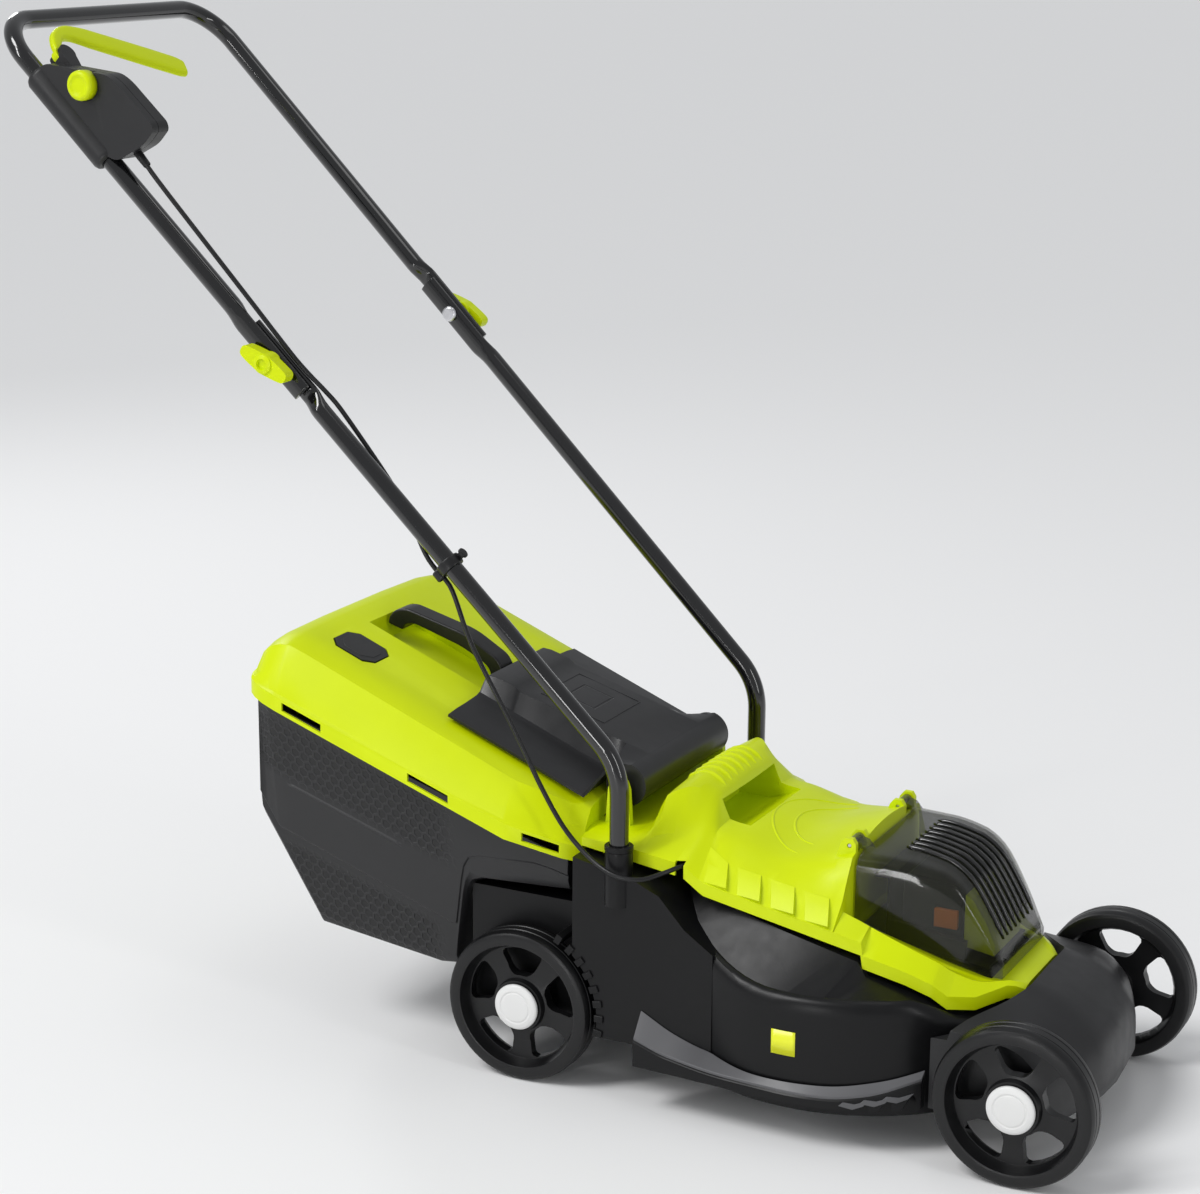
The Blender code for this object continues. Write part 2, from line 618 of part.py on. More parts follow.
def make_battery_cover(mats):
    """The smoked lid over the battery: a sloping thin cap hinged at its rear top edge."""
    rings = []
    for x, half, top, low in BATTERY_COVER_SECTIONS:
        right = [(-half, low), (-half + 0.001, top - 0.012), (-half + 0.004, top - 0.004),
            (-half + 0.013, top)]
        rings.append([Vector((x, y, z)) for y, z in right + [(-y, z) for y, z in reversed(right)]])
    pivot = (LID_AXIS[0], 0, LID_AXIS[1])
    cover = add_shell("battery_cover", rings, 0.0024, mats["smoke"], pivot, first_wall=False)
    arm = [(0.3080, 0.2640), (0.3080, 0.2725), (0.3200, 0.2685), (0.3270, 0.2600), (0.3270, 0.2588),
        (0.3195, 0.2588), (0.3195, 0.2640)]
    for name, side in SIDES:
        y = side * 0.065
        barrel = rod((LID_AXIS[0], y - 0.0095, LID_AXIS[1]), (LID_AXIS[0], y + 0.0095, LID_AXIS[1]),
            0.0055, 16)
        combine(
            cover,
            "UNION",
            helper(f"arm_{name}", side_prism(arm, y - 0.0090, y + 0.0090)),
            helper(f"barrel_{name}", barrel),
        )
    bore = rod((LID_AXIS[0], -0.09, LID_AXIS[1]), (LID_AXIS[0], 0.09, LID_AXIS[1]), 0.0024, 12)
    combine(cover, "DIFFERENCE", helper("battery_cover_bore", bore))
    for name, side in SIDES:
        ends = [Vector((LID_AXIS[0], side * y, LID_AXIS[1])) for y in (0.0480, 0.0820)]
        add(f"cover_pin_{name}", rod(ends[0], ends[1], 0.0020, 12), mats["steel"], pivot=pivot)


def make_battery(mats):
    """The bay's tray with its high back wall, the contacts, and the slide-in battery pack."""
    wall = [(0.3260, 0.2310), (0.3260, 0.2335), (0.3420, 0.2335), (0.3420, 0.1705), (0.4440, 0.1595),
        (0.4440, 0.1570), (0.3395, 0.1680), (0.3395, 0.2310)]
    tray = add("battery_tray", side_prism(wall, -0.0560, 0.0560), mats["black"])
    rails = [[(0.3400, 0.169), (0.3400, 0.190), (0.4200, 0.180), (0.4200, 0.160)]]
    for name, side in SIDES:
        low, high = sorted((side * 0.0480, side * 0.0555))
        combine(tray, "UNION", helper(f"rail_{name}", side_prism(rails[0], low, high)))
    contacts = add("terminal_block", block((0.3424, -0.020, 0.180), (0.3500, 0.020, 0.206)),
        mats["black"])
    for i in range(3):
        y = -0.012 + 0.012 * i
        combine(contacts, "UNION", helper(f"contact_{i}", block((0.3490, y - 0.0006, 0.185),
            (0.3590, y + 0.0006, 0.201))))
    body = [(0.3505, 0.1745), (0.3505, 0.2300), (0.3560, 0.2350), (0.4040, 0.2300), (0.4120, 0.2220),
        (0.4120, 0.1685)]
    pack = add("battery_pack", side_prism(body, -0.040, 0.040), mats["black"])
    combine(pack, "DIFFERENCE", helper("contact_space", block((0.340, -0.021, 0.1790),
        (0.3620, 0.021, 0.2070))))
    front = [(0.4124, 0.1690), (0.4124, 0.2215), (0.4200, 0.2180), (0.4350, 0.1960), (0.4440, 0.1760),
        (0.4440, 0.1640)]
    add("battery_front", side_prism(front, -0.0385, 0.0385), mats["lime"])
    for name, side in SIDES:
        low, high = sorted((side * 0.0360, side * 0.0425))
        pocket = block((0.3830, *sorted((side * 0.0355, side * 0.05))[:1], 0.1860),
            (0.4080, sorted((side * 0.0355, side * 0.05))[1], 0.2060))
        combine(pack, "DIFFERENCE", helper(f"latch_pocket_{name}", pocket))
        latch_low, latch_high = sorted((side * 0.0395, side * 0.0450))
        latch = block((0.3836, latch_low, 0.1866), (0.4074, latch_high, 0.2054))
        add(f"battery_latch_{name}", latch, mats["orange"])
    controller = block((0.182, -0.045, 0.1980), (0.232, 0.045, 0.2240))
    add("controller_box", controller, mats["black"])


# ---------------------------------------------------------------- rear flap

FLAP_REAR = -0.100


def flap_top(x):
    return 0.3500 - 0.4 * (x + 0.10)


def make_flap(mats):
    """The rear flap: a plate with a raised middle and a rounded front lip round its pin."""
    ax, az = FLAP_AXIS
    pivot = (ax, 0, az)
    rings = []
    for x, middle in ((FLAP_REAR, 0.3755), (-0.085, 0.3740), (-0.020, 0.3480), (0.050, 0.3215)):
        side_z = flap_top(x) + 0.0020
        section = [(-0.137, side_z + 0.0035), (-0.105, side_z + 0.0055), (-0.076, side_z + 0.0080),
            (-0.060, middle)]
        section += [(-y, z) for y, z in reversed(section)]
        rings.append([Vector((x, y, z)) for y, z in section])
    for i in range(10):
        turn = math.radians(122 - 21 * i)
        x, z = ax + 0.0225 * math.cos(turn), az + 0.0225 * math.sin(turn)
        narrow = [-0.104, -0.096, -0.076, -0.060]
        rings.append([Vector((x, y, z)) for y in narrow + [-y for y in reversed(narrow)]])
    flap = add_shell("grass_flap", rings, 0.0028, mats["charcoal"], pivot, first_wall=False,
        last_wall=False)
    for name, side in SIDES:
        web_low, web_high = sorted((side * 0.0985, side * 0.1035))
        disc = rod((ax, web_low, az), (ax, web_high, az), 0.0212, 24)
        combine(flap, "UNION", helper(f"flap_disc_{name}", disc))
    bore = rod((ax, -0.12, az), (ax, 0.12, az), 0.0034, 16)
    combine(flap, "DIFFERENCE", helper("flap_pivot_bore", bore))
    add("flap_hinge_pin", rod((ax, -0.119, az), (ax, 0.119, az), 0.0030, 16), mats["steel"],
        pivot=pivot)
    turns, per_turn, wire, radius, y0 = 4, 10, 0.0007, 0.0050, 0.060
    points = []
    for i in range(turns * per_turn + 1):
        turn = 2 * math.pi * i / per_turn
        points.append(Vector((ax + radius * math.cos(turn), y0 + 0.0022 * i / per_turn,
            az + radius * math.sin(turn))))
    add("flap_spring", swept(points, wire, 5, Vector((0, 1, 0))), mats["steel"], pivot=pivot)


def swept(points, radius, sides, hint):
    """A round bar of one radius along a line of points; hint is never along the line."""
    rings = []
    for i, point in enumerate(points):
        tangent = (points[min(i + 1, len(points) - 1)] - points[max(i - 1, 0)]).normalized()
        first = hint.cross(tangent).normalized()
        second = tangent.cross(first).normalized()
        turn = 2 * math.pi / sides
        rings.append([point + (first * math.cos(k * turn) + second * math.sin(k * turn)) * radius for k in range(sides)])
    return loft(rings)


# ---------------------------------------------------------------- grass box


def rim_low(x):
    """Lower edge of the grass box lid's rim."""
    return 0.3020 - 0.3535 * (x + 0.15)


def lid_crown(x):
    """Top of the grass box lid, which rolls over at its rear edge."""
    roll = max(0.0, -0.262 - x)
    return 0.3100 - 0.4 * x - 14.0 * roll ** 2


def rim_half(x):
    return between(x, [(-0.312, 0.168), (-0.295, 0.182), (-0.27, 0.1850), (-0.012, 0.1850),
        (0.040, 0.1620), (0.056, 0.1500)])


def lid_section(x):
    half = rim_half(x)
    top = lid_crown(x)
    narrow = half / 0.185
    right = [
        (-half, rim_low(x)),
        (-half, rim_low(x) + 0.018),
        (-(half - 0.009), top - 0.029 * narrow),
        (-0.158 * narrow, top - 0.013),
        (-0.135 * narrow, top - 0.003),
        (-0.06 * narrow, top),
    ]
    return right + [(-y, z) for y, z in reversed(right)]


def lid_rings():
    stations = [-0.312, -0.302, -0.285, -0.262, -0.15, -0.012, 0.040, 0.056]
    return [[Vector((x, y, z)) for y, z in lid_section(x)] for x in stations]


RECESS = [(-0.250, 0.44), (-0.245, 0.384), (-0.200, 0.366), (-0.120, 0.333), (-0.104, 0.341),
    (-0.098, 0.42)]


def make_box_lid(mats):
    thick = 0.0026
    lid = add_shell("box_lid", lid_rings(), thick, mats["lime"])
    lining = [(-0.2495, lid_crown(-0.2495) - 0.0006), (-0.2476, 0.3814), (-0.2010, 0.3634),
        (-0.1190, 0.3302)]
    lining += [(-0.1025, 0.3385), (-0.0955, lid_crown(-0.0955) - 0.0006)]
    combine(lid, "UNION", helper("recess_lining", side_prism(lining, -0.047, 0.047)))
    combine(lid, "DIFFERENCE", helper("recess", side_prism(RECESS, -0.0444, 0.0444)))
    mouth = [(0.030, 0.180), (0.030, 0.264), (0.070, 0.264), (0.070, 0.180)]
    combine(lid, "DIFFERENCE", helper("lid_mouth", side_prism(mouth, -0.100, 0.100)))
    combine(lid, "DIFFERENCE", helper("indicator_hole", indicator_prism(0.0008, 0.030)))
    for name, side in SIDES:
        for i, (x0, x1) in enumerate(((-0.285, -0.240), (-0.141, -0.097), (-0.010, 0.026))):
            low, high = sorted((side * 0.150, side * 0.195))
            slot = [(x0, rim_low(x0) + 0.006), (x0, rim_low(x0) + 0.012), (x1, rim_low(x1) + 0.012),
                (x1, rim_low(x1) + 0.006)]
            combine(lid, "DIFFERENCE", helper(f"rim_slot_{name}_{i}", side_prism(slot, low, high)))


INDICATOR = Vector((-0.223, -0.100))


def indicator_prism(grow, thick):
    """The fill indicator's long octagon, square to the sloping lid."""
    half_x, half_y, cut = 0.026 + grow, 0.023 + grow, 0.010
    slope = Vector((1, 0, -0.4)).normalized()
    normal = Vector((0.4, 0, 1)).normalized()
    outline = [(-half_x, -half_y + cut), (-half_x + cut, -half_y), (half_x - cut, -half_y),
        (half_x, -half_y + cut)]
    outline += [(-x, -y) for x, y in outline]
    centre = Vector((INDICATOR.x, INDICATOR.y, lid_crown(INDICATOR.x) - 0.0002))
    start = centre - normal * (0.0022 if grow == 0 else thick / 2)
    return prism([start + slope * x + Vector((0, y, 0)) for x, y in outline],
        normal * (0.0022 if grow == 0 else thick))


TUB_BOTTOM = [(-0.308, 0.220), (-0.250, 0.105), (-0.110, 0.0860), (-0.0860, 0.0900), (-0.0760, 0.1900),
    (0.044, 0.1960)]
TUB_LIMIT = [(-0.308, 0.1640), (-0.293, 0.1760), (-0.270, 0.1805), (-0.012, 0.1805), (0.044, 0.1540)]


def make_grass_box(mats):
    """The lower tub, tapering downwards, cut away over the rear axle and open at its front."""
    rings = []
    for x in (-0.308, -0.293, -0.270, -0.250, -0.110, -0.0860, -0.0760, -0.012, 0.044):
        limit = between(x, TUB_LIMIT)

        def half(z):
            return min(between(z, [(0.085, 0.139), (0.220, 0.158), (0.350, 0.1790)]), limit)

        top, low = rim_low(x) + 0.0015, between(x, TUB_BOTTOM)
        right = [(-half(top), top), (-half(low + 0.012), low + 0.012), (-half(low) + 0.012, low)]
        rings.append([Vector((x, y, z)) for y, z in right + [(-y, z) for y, z in reversed(right)]])
    tub = add_shell("grass_box", rings, 0.003, mats["charcoal"])
    mouth = [(0.030, 0.200), (0.030, 0.264), (0.070, 0.264), (0.070, 0.200)]
    combine(tub, "DIFFERENCE", helper("tub_mouth", side_prism(mouth, -0.100, 0.100)))


def make_lid_handle(mats):
    """The black arched grip over the recess in the lid."""
    outer = [(-0.2440, 0.3845), (-0.2430, 0.4080), (-0.2350, 0.4160), (-0.220, 0.4200),
        (-0.150, 0.4010), (-0.112, 0.3790), (-0.1075, 0.3720), (-0.1075, 0.3398)]
    inner = [(-0.1200, 0.3336), (-0.1215, 0.3700), (-0.155, 0.3870), (-0.215, 0.4060), (-0.226, 0.4020),
        (-0.228, 0.3778)]
    add("lid_handle", side_prism(outer + inner, -0.013, 0.013), mats["black"])


def make_indicator(mats):
    pivot = Vector((INDICATOR.x - 0.026, 0, lid_crown(INDICATOR.x - 0.026)))
    add("fill_indicator", indicator_prism(0.0, 0.0022), mats["charcoal"], pivot=pivot)


# ---------------------------------------------------------------- handle


def tube_ring(centre, lateral, square, flat, side):
    """One ring of handle tube; flat 1 is pressed to the outside (side +1) or inside (-1)."""
    sides = 14
    ring = []
    for k in range(sides):
        turn = 2 * math.pi * k / sides
        a, b = TUBE_RADIUS * math.cos(turn), TUBE_RADIUS * math.sin(turn)
        pressed = (a * 0.44 + side * 0.0049) * flat + a * (1 - flat)
        ring.append(centre + lateral * pressed + square * b * (1 + 0.12 * flat))
    return ring


def make_lower_leg(name, side, mats):
    radius, steps = 0.070, 6
    turn_angle = math.pi / 2 - HANDLE_SLOPE
    reach = radius * math.tan(turn_angle / 2)
    outward = Vector((0, side, 0))
    rings = []

    def station(centre, tangent, flat):
        square = tangent.cross(outward).normalized() * side
        rings.append(tube_ring(centre, outward, square, flat, -1))

    y = side * LEG_BOTTOM_Y
    station(Vector((LEG_X, y, 0.2056)), Vector((0, 0, 1)), 0)
    start = Vector((LEG_X, y, BEND_Z - reach))
    for i in range(steps + 1):
        a = turn_angle * i / steps
        at = start + Vector((-radius * (1 - math.cos(a)), 0, radius * math.sin(a)))
        station(at, Vector((-math.sin(a), 0, math.cos(a))), 0)
    for s, flat in ((0.455, 0), (0.472, 1), (0.562, 1), (0.564, 1)):
        station(handle_point(s, side * leg_half_width(s)), ALONG, flat)
    leg = add(f"lower_leg_{name}", loft(rings), mats["tube"])
    bore_leg(leg, f"lower_bore_{name}", side)


def fold_point(side, out=0.0):
    return handle_point(FOLD_AT, side * (leg_half_width(FOLD_AT) + out))


def bore_leg(obj, name, side):
    bore = rod(fold_point(side, -0.03), fold_point(side, 0.03), 0.0034, 14)
    combine(obj, "DIFFERENCE", helper(name, bore))


def make_upper_handle(mats):
    corner, steps = 0.050, 7
    half = []

    def station(s, y, tangent, flat):
        centre = handle_point(s, y)
        lateral = tangent.cross(NORMAL).normalized()
        half.append((centre, lateral, flat))

    for s, flat in ((0.478, 1), (0.480, 1), (0.568, 1), (0.586, 0)):
        station(s, leg_half_width(s), ALONG, flat)
    top_s = HANDLE_LENGTH - corner
    top_y = leg_half_width(top_s) - corner
    for i in range(steps + 1):
        a = math.pi / 2 * i / steps
        tangent = ALONG * math.cos(a) + Vector((0, -1, 0)) * math.sin(a)
        station(top_s + corner * math.sin(a), top_y + corner * math.cos(a), tangent, 0)
    mirror = Matrix.Scale(-1, 4, Vector((0, 1, 0)))
    rings = []
    for centre, lateral, flat in half:
        outward = lateral if lateral.y > 0 or abs(lateral.y) < 1e-6 else -lateral
        outward = outward if flat == 0 else Vector((0, 1, 0))
        rings.append(tube_ring(centre, outward, NORMAL, flat, 1))
    other = []
    for ring in reversed(rings):
        other.append([mirror @ p for p in ring])
    handle = add("upper_handle", loft(rings + other), mats["tube"], pivot=fold_point(0))
    for name, side in SIDES:
        bore_leg(handle, f"upper_bore_{name}", side)


def make_knobs(mats):
    for name, side in SIDES:
        at = fold_point(side)
        out = Vector((0, side, 0))
        head = [(0.0070, -0.0140), (0.0085, -0.0125), (0.0085, -0.0102), (0.0031, -0.0102),
            (0.0031, 0.0260)]
        add(f"knob_bolt_{name}", turned(at, out, head, 14), mats["steel"], pivot=at)
        start = 0.0106
        hub = turned(at, out, [(0.0105, start), (0.0105, start + 0.014), (0.0085, start + 0.020)], 18)
        knob = add(f"wing_knob_{name}", hub, mats["lime"], pivot=at)
        long, thin = 0.026, 0.0045
        lean = (ALONG * 0.96 - NORMAL * 0.28).normalized()
        across = lean.cross(out).normalized()
        outline = [(-long, -thin), (-0.008, -0.009), (0.008, -0.009), (long, -thin), (long + 0.003, 0),
            (long, thin), (0.008, 0.009), (-0.008, 0.009), (-long, thin), (-long - 0.003, 0)]
        loop = [at + out * (start + 0.004) + lean * a + across * b for a, b in outline]
        combine(knob, "UNION", helper(f"wing_{name}", prism(loop, out * 0.012)))
        bore = rod(at, at + out * 0.0275, 0.0035, 14)
        combine(knob, "DIFFERENCE", helper(f"knob_bore_{name}", bore))


# ---------------------------------------------------------------- switch box and cable

BOX_OUTLINE = [(0.900, -0.0157), (0.898, 0.0180), (0.838, 0.0650), (0.824, 0.0680), (0.7695, 0.0692)]
BOX_OUTLINE += [(0.7630, 0.0650), (0.7620, 0.0460), (0.7730, 0.0120), (0.7940, -0.0157)]
BOX_INSIDE = [(0.8950, 0.0130), (0.8930, 0.0165), (0.8360, 0.0615), (0.8235, 0.0650), (0.7715, 0.0662)]
BOX_INSIDE += [(0.7660, 0.0630), (0.7650, 0.0465), (0.7755, 0.0130)]
BOX_SPLIT_Y = -0.1805
BOX_OUTER_Y = -0.1935
BOX_INNER_Y = -0.1640
LEVER_PIVOT = (0.8985, -0.1630, 0.0230)
BUTTON = (0.849, 0.039)


def box_prism(outline, y_start, y_end):
    return prism([handle_point(s, y_start, n) for s, n in outline], (0, y_end - y_start, 0))


def make_switch_box(mats):
    """Two moulded halves clamped round the right-hand tube, with room inside for the switch."""
    pivot = fold_point(0)
    half_gap = GAP / 2
    s0, y0, n0 = LEVER_PIVOT
    bore_start, bore_end = [handle_point(s, -leg_half_width(s)) for s in (0.750, 0.925)]
    for name, start, end, wall in (
        ("outer", BOX_SPLIT_Y - half_gap, BOX_OUTER_Y, BOX_OUTER_Y + 0.0024),
        ("inner", BOX_SPLIT_Y + half_gap, BOX_INNER_Y, BOX_INNER_Y - 0.0024),
    ):
        away = 1 if end > start else -1
        shell = add(f"switch_box_{name}", box_prism(BOX_OUTLINE, start, end), mats["charcoal"],
            pivot=pivot)
        sleeve = []
        for s, radius in ((0.784, 0.0128), (0.788, 0.0158), (0.897, 0.0158), (0.901, 0.0128)):
            centre = handle_point(s, start)
            ring = []
            for k in range(11):
                turn = math.pi * (k / 10 - 0.5)
                ring.append(centre + NORMAL * radius * math.sin(turn) + Vector((0,
                    away * radius * math.cos(turn), 0)))
            sleeve.append(ring)
        combine(shell, "UNION", helper(f"sleeve_{name}", loft(sleeve)))
        if name == "inner":
            lug = rod(handle_point(s0, y0, n0 - 0.0095), handle_point(s0, y0, n0 + 0.0095), 0.0092, 20)
            web = prism([handle_point(s, y, n0 - 0.0095) for s,
                y in ((0.872, -0.172), (s0, -0.172), (s0, -0.154), (0.872, -0.163))], NORMAL * 0.019)
            combine(shell, "UNION", helper("lug_web", web), helper("lug", lug))
        bore = rod(bore_start, bore_end, TUBE_RADIUS + GAP, 28)
        grommet_hole = rod(handle_point(0.745, -0.178, 0.0290), handle_point(0.785, -0.178, 0.0290),
            0.0048, 16)
        combine(
            shell,
            "DIFFERENCE",
            helper(f"box_space_{name}", box_prism(BOX_INSIDE, BOX_SPLIT_Y - away * 0.002, wall)),
            helper(f"box_bore_{name}", bore),
            helper(f"grommet_hole_{name}", grommet_hole),
        )
        if name == "inner":
            room = rod(handle_point(s0, y0, n0 - 0.0046), handle_point(s0, y0, n0 + 0.0046), 0.0122, 24)
            pin_hole = rod(handle_point(s0, y0, n0 - 0.0120), handle_point(s0, y0, n0 + 0.0120), 0.0024,
                12)
            combine(shell, "DIFFERENCE", helper("lever_room", room), helper("lever_pin_hole", pin_hole))
        else:
            button_hole = rod(handle_point(BUTTON[0], -0.20, BUTTON[1]),
                handle_point(BUTTON[0], -0.1825, BUTTON[1]), 0.0155, 28)
            combine(shell, "DIFFERENCE", helper("button_hole", button_hole))
    make_lever(mats)
    base = handle_point(BUTTON[0], -0.1885, BUTTON[1])
    profile = [(0.0150, 0.0), (0.0150, 0.0115), (0.0135, 0.0135), (0.008, 0.0145)]
    add("lock_off_button", turned(base, (0, -1, 0), profile, 28), mats["lime"], pivot=base)
    switch = [(0.858, 0.026), (0.842, 0.026), (0.842, 0.0435), (0.858, 0.0435)]
    add("microswitch", box_prism(switch, -0.1670, -0.1750), mats["black"], pivot=pivot)
    coil = []
    for i in range(3 * 10 + 1):
        turn = 2 * math.pi * i / 10
        centre = handle_point(BUTTON[0], -0.1760 - 0.0115 * i / 30, BUTTON[1])
        coil.append(centre + ALONG * 0.0045 * math.cos(turn) + NORMAL * 0.0045 * math.sin(turn))
    add("button_spring", swept(coil, 0.0006, 5, Vector((0, 1, 0))), mats["steel"], pivot=pivot)


def make_lever(mats):
    """The one-sided run lever: a pivot boss in the switch box, a bent neck, and a broad grip."""
    s0, y0, n0 = LEVER_PIVOT
    low, high = n0 - 0.0040, n0 + 0.0040
    pivot = handle_point(s0, y0, n0)
    path = [(0.9000, -0.1630), (0.9200, -0.1570), (0.9330, -0.1400), (0.9345, -0.1220),
        (0.9250, -0.1040), (0.8720, 0.0120), (0.8690, 0.0180)]
    widths = [0.0065, 0.0060, 0.0065, 0.0095, 0.0130, 0.0138, 0.0110]
    outline = ribbon(path, widths)
    lever = add("bail_lever", prism([handle_point(s, y, low) for s, y in outline],
        NORMAL * (high - low)), mats["lime"], pivot=pivot)
    boss = rod(handle_point(s0, y0, low), handle_point(s0, y0, high), 0.0112, 24)
    combine(lever, "UNION", helper("lever_boss", boss))
    hole = rod(handle_point(s0, y0, low - 0.01), handle_point(s0, y0, high + 0.01), 0.0025, 14)
    combine(lever, "DIFFERENCE", helper("lever_bore", hole))
    pin = rod(handle_point(s0, y0, n0 - 0.0093), handle_point(s0, y0, n0 + 0.0093), 0.0021, 12)
    add("lever_pin", pin, mats["steel"], pivot=pivot)


# Centre line of the switch cable: down beside the right-hand leg, under it through the clip,
# then in one slack curve past the socket and in through the motor cover's notch.
UPPER_ROUTE = [(0.7800, -0.1780, 0.0290), (0.7650, -0.1780, 0.0290), (0.7329, -0.1800, 0.0274),
    (0.6559, -0.1800, 0.0245)]
UPPER_ROUTE += [(0.5809, -0.1780, 0.0207), (0.5400, -0.1770, 0.0185), (0.5068, -0.1760, 0.0170),
    (0.4850, -0.1710, 0.0150)]
UPPER_ROUTE += [(0.4650, -0.1630, 0.0122), (0.4400, -0.1575, 0.0090), (0.3600, -0.1565, 0.0000),
    (0.3200, -0.1580, -0.0075)]
UPPER_ROUTE += [(0.2992, -0.1620, -0.0125), (0.2780, -0.1675, -0.0155), (0.2600, -0.1694, -0.0158),
    (0.2380, -0.1694, -0.0160)]
LOWER_ROUTE = [(-0.0600, -0.1700, 0.4520), (-0.0460, -0.1700, 0.4250), (-0.0070, -0.1700, 0.3600),
    (0.0220, -0.1710, 0.3090)]
LOWER_ROUTE += [(0.0490, -0.1740, 0.2720), (0.0800, -0.1810, 0.2490), (0.1095, -0.1865, 0.2375),
    (0.1340, -0.1800, 0.2350)]
LOWER_ROUTE += [(0.1520, -0.1660, 0.2400), (0.1608, -0.1500, 0.2425), (0.1660, -0.1330, 0.2410),
    (0.1760, -0.1050, 0.2335)]
LOWER_ROUTE += [(0.1900, -0.0750, 0.2265), (0.1990, -0.0580, 0.2180), (0.2000, -0.0485, 0.2130)]
CABLE_RADIUS = 0.0024


def smooth_route(knots, spacing):
    """Points a fixed distance apart on a smooth curve through the knots."""
    ends = [2 * knots[0] - knots[1]] + knots + [2 * knots[-1] - knots[-2]]
    fine = []
    for a, b, c, d in zip(ends, ends[1:], ends[2:], ends[3:]):
        for i in range(24):
            t = i / 24
            fine.append(0.5 * (2 * b + (c - a) * t + (2 * a - 5 * b + 4 * c - d) * t * t + (3 * b - a - 3 * c + d) * t ** 3))
    fine.append(knots[-1])
    kept, gone = [fine[0]], 0.0
    for previous, point in zip(fine, fine[1:]):
        gone += (point - previous).length
        if gone >= spacing:
            kept.append(point)
            gone = 0.0
    kept[-1] = fine[-1]
    return kept


def make_cable(mats):
    knots = [handle_point(*p) for p in UPPER_ROUTE] + [Vector(p) for p in LOWER_ROUTE]
    route = smooth_route(knots, 0.0135)
    curve = bpy.data.curves.new("switch_cable", "CURVE")
    curve.dimensions = "3D"
    curve.bevel_depth = CABLE_RADIUS
    curve.bevel_resolution = 2
    curve.use_fill_caps = True
    spline = curve.splines.new("POLY")
    spline.points.add(len(route) - 1)
    for point, at in zip(spline.points, route):
        point.co = (*at, 1)
    curve.materials.append(mats["cable"])
    cable = bpy.data.objects.new("switch_cable", curve)
    cable.location = ORIGIN_SHIFT
    bpy.context.scene.collection.objects.link(cable)
    start = handle_point(0.7500, -0.1786, 0.0284)
    direction = handle_point(0.7720, -0.1780, 0.0290) - start
    profile = [(0.0031, 0.0), (0.0038, 0.001), (0.0043, 0.012), (0.0043, 0.0220), (0.0031, 0.0220)]
    add("cable_grommet", turned_ring(start, direction, profile, 14), mats["black"])
    make_clip(mats)


def make_clip(mats):
    """A two-lobed clip: one ring grips the tube and the small one below it holds the cable."""
    s0, s1 = 0.2450, 0.2650
    y = -leg_half_width(0.255)
    low_lobe = -0.0158
    outline = []
    for k in range(13):
        turn = math.radians(-50 + 280 * k / 12)
        outline.append((0.0125 * math.cos(turn), 0.0125 * math.sin(turn)))
    for k in range(7):
        turn = math.radians(200 + 140 * k / 6)
        outline.append((0.0060 * math.cos(turn), low_lobe + 0.0060 * math.sin(turn)))
    loop = [handle_point(s0, y + a, b) for a, b in outline]
    clip = add("cable_clip", prism(loop, ALONG * (s1 - s0)), mats["black"])
    tube = turned(handle_point(s0 - 0.01, -leg_half_width(s0 - 0.01)), ALONG,
        [(TUBE_RADIUS + GAP, 0), (TUBE_RADIUS + GAP, 0.04)], 24)
    cable = rod(handle_point(s0 - 0.01, y, low_lobe), handle_point(s1 + 0.01, y, low_lobe),
        CABLE_RADIUS + 0.0012, 14)
    combine(clip, "DIFFERENCE", helper("clip_tube", tube), helper("clip_cable", cable))


# ---------------------------------------------------------------- assembly


def main():
    clear_scene()
    mats = {
        "lime": material("lime_plastic", (0.66, 0.78, 0.01), 0.42),
        "deck": material("deck_plastic", (0.02, 0.02, 0.021), 0.38),
        "charcoal": material("charcoal_plastic", (0.05, 0.05, 0.052), 0.5),
        "black": material("black_plastic", (0.012, 0.012, 0.013), 0.45),
        "comb": material("comb_plastic", (0.17, 0.17, 0.175), 0.5),
        "tyre": material("wheel_plastic", (0.01, 0.01, 0.01), 0.6),
        "white": material("white_plastic", (0.8, 0.8, 0.8), 0.4),
        "orange": material("orange_plastic", (0.6, 0.12, 0.01), 0.4),
        "smoke": material("smoked_plastic", (0.08, 0.08, 0.03), 0.15, alpha=0.55),
        "tube": material("black_coated_tube", (0.008, 0.008, 0.009), 0.18),
        "steel": material("zinc_steel", (0.6, 0.6, 0.6), 0.3, metallic=1.0),
        "alloy": material("cast_alloy", (0.5, 0.5, 0.5), 0.45, metallic=1.0),
        "copper": material("copper_winding", (0.45, 0.18, 0.08), 0.4, metallic=1.0),
        "cable": material("cable_jacket", (0.015, 0.015, 0.015), 0.4),
    }
    make_running_gear(mats)
    make_deck(mats)
    make_front_housing(mats)
    for name, side in SIDES:
        make_comb(name, side, mats)
    make_motor(mats)
    make_motor_cover(mats)
    make_battery_cover(mats)
    make_battery(mats)
    make_flap(mats)
    make_box_lid(mats)
    make_grass_box(mats)
    make_lid_handle(mats)
    make_indicator(mats)
    for name, side in SIDES:
        make_lower_leg(name, side, mats)
    make_upper_handle(mats)
    make_knobs(mats)
    make_switch_box(mats)
    make_cable(mats)


main()
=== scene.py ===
"""Looks of a small battery push mower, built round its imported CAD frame.

Lengths are metres, and tables inside mm() are millimetres. Shapes are drawn in the axle frame: origin on
the ground under the rear axle, +X forward, +Y to the mower's left, +Z up. SHIFT carries them into the frame
of the CAD model.
"""

import json
import math

import bmesh
import bpy
from mathutils import Matrix, Vector
from mathutils.bvhtree import BVHTree


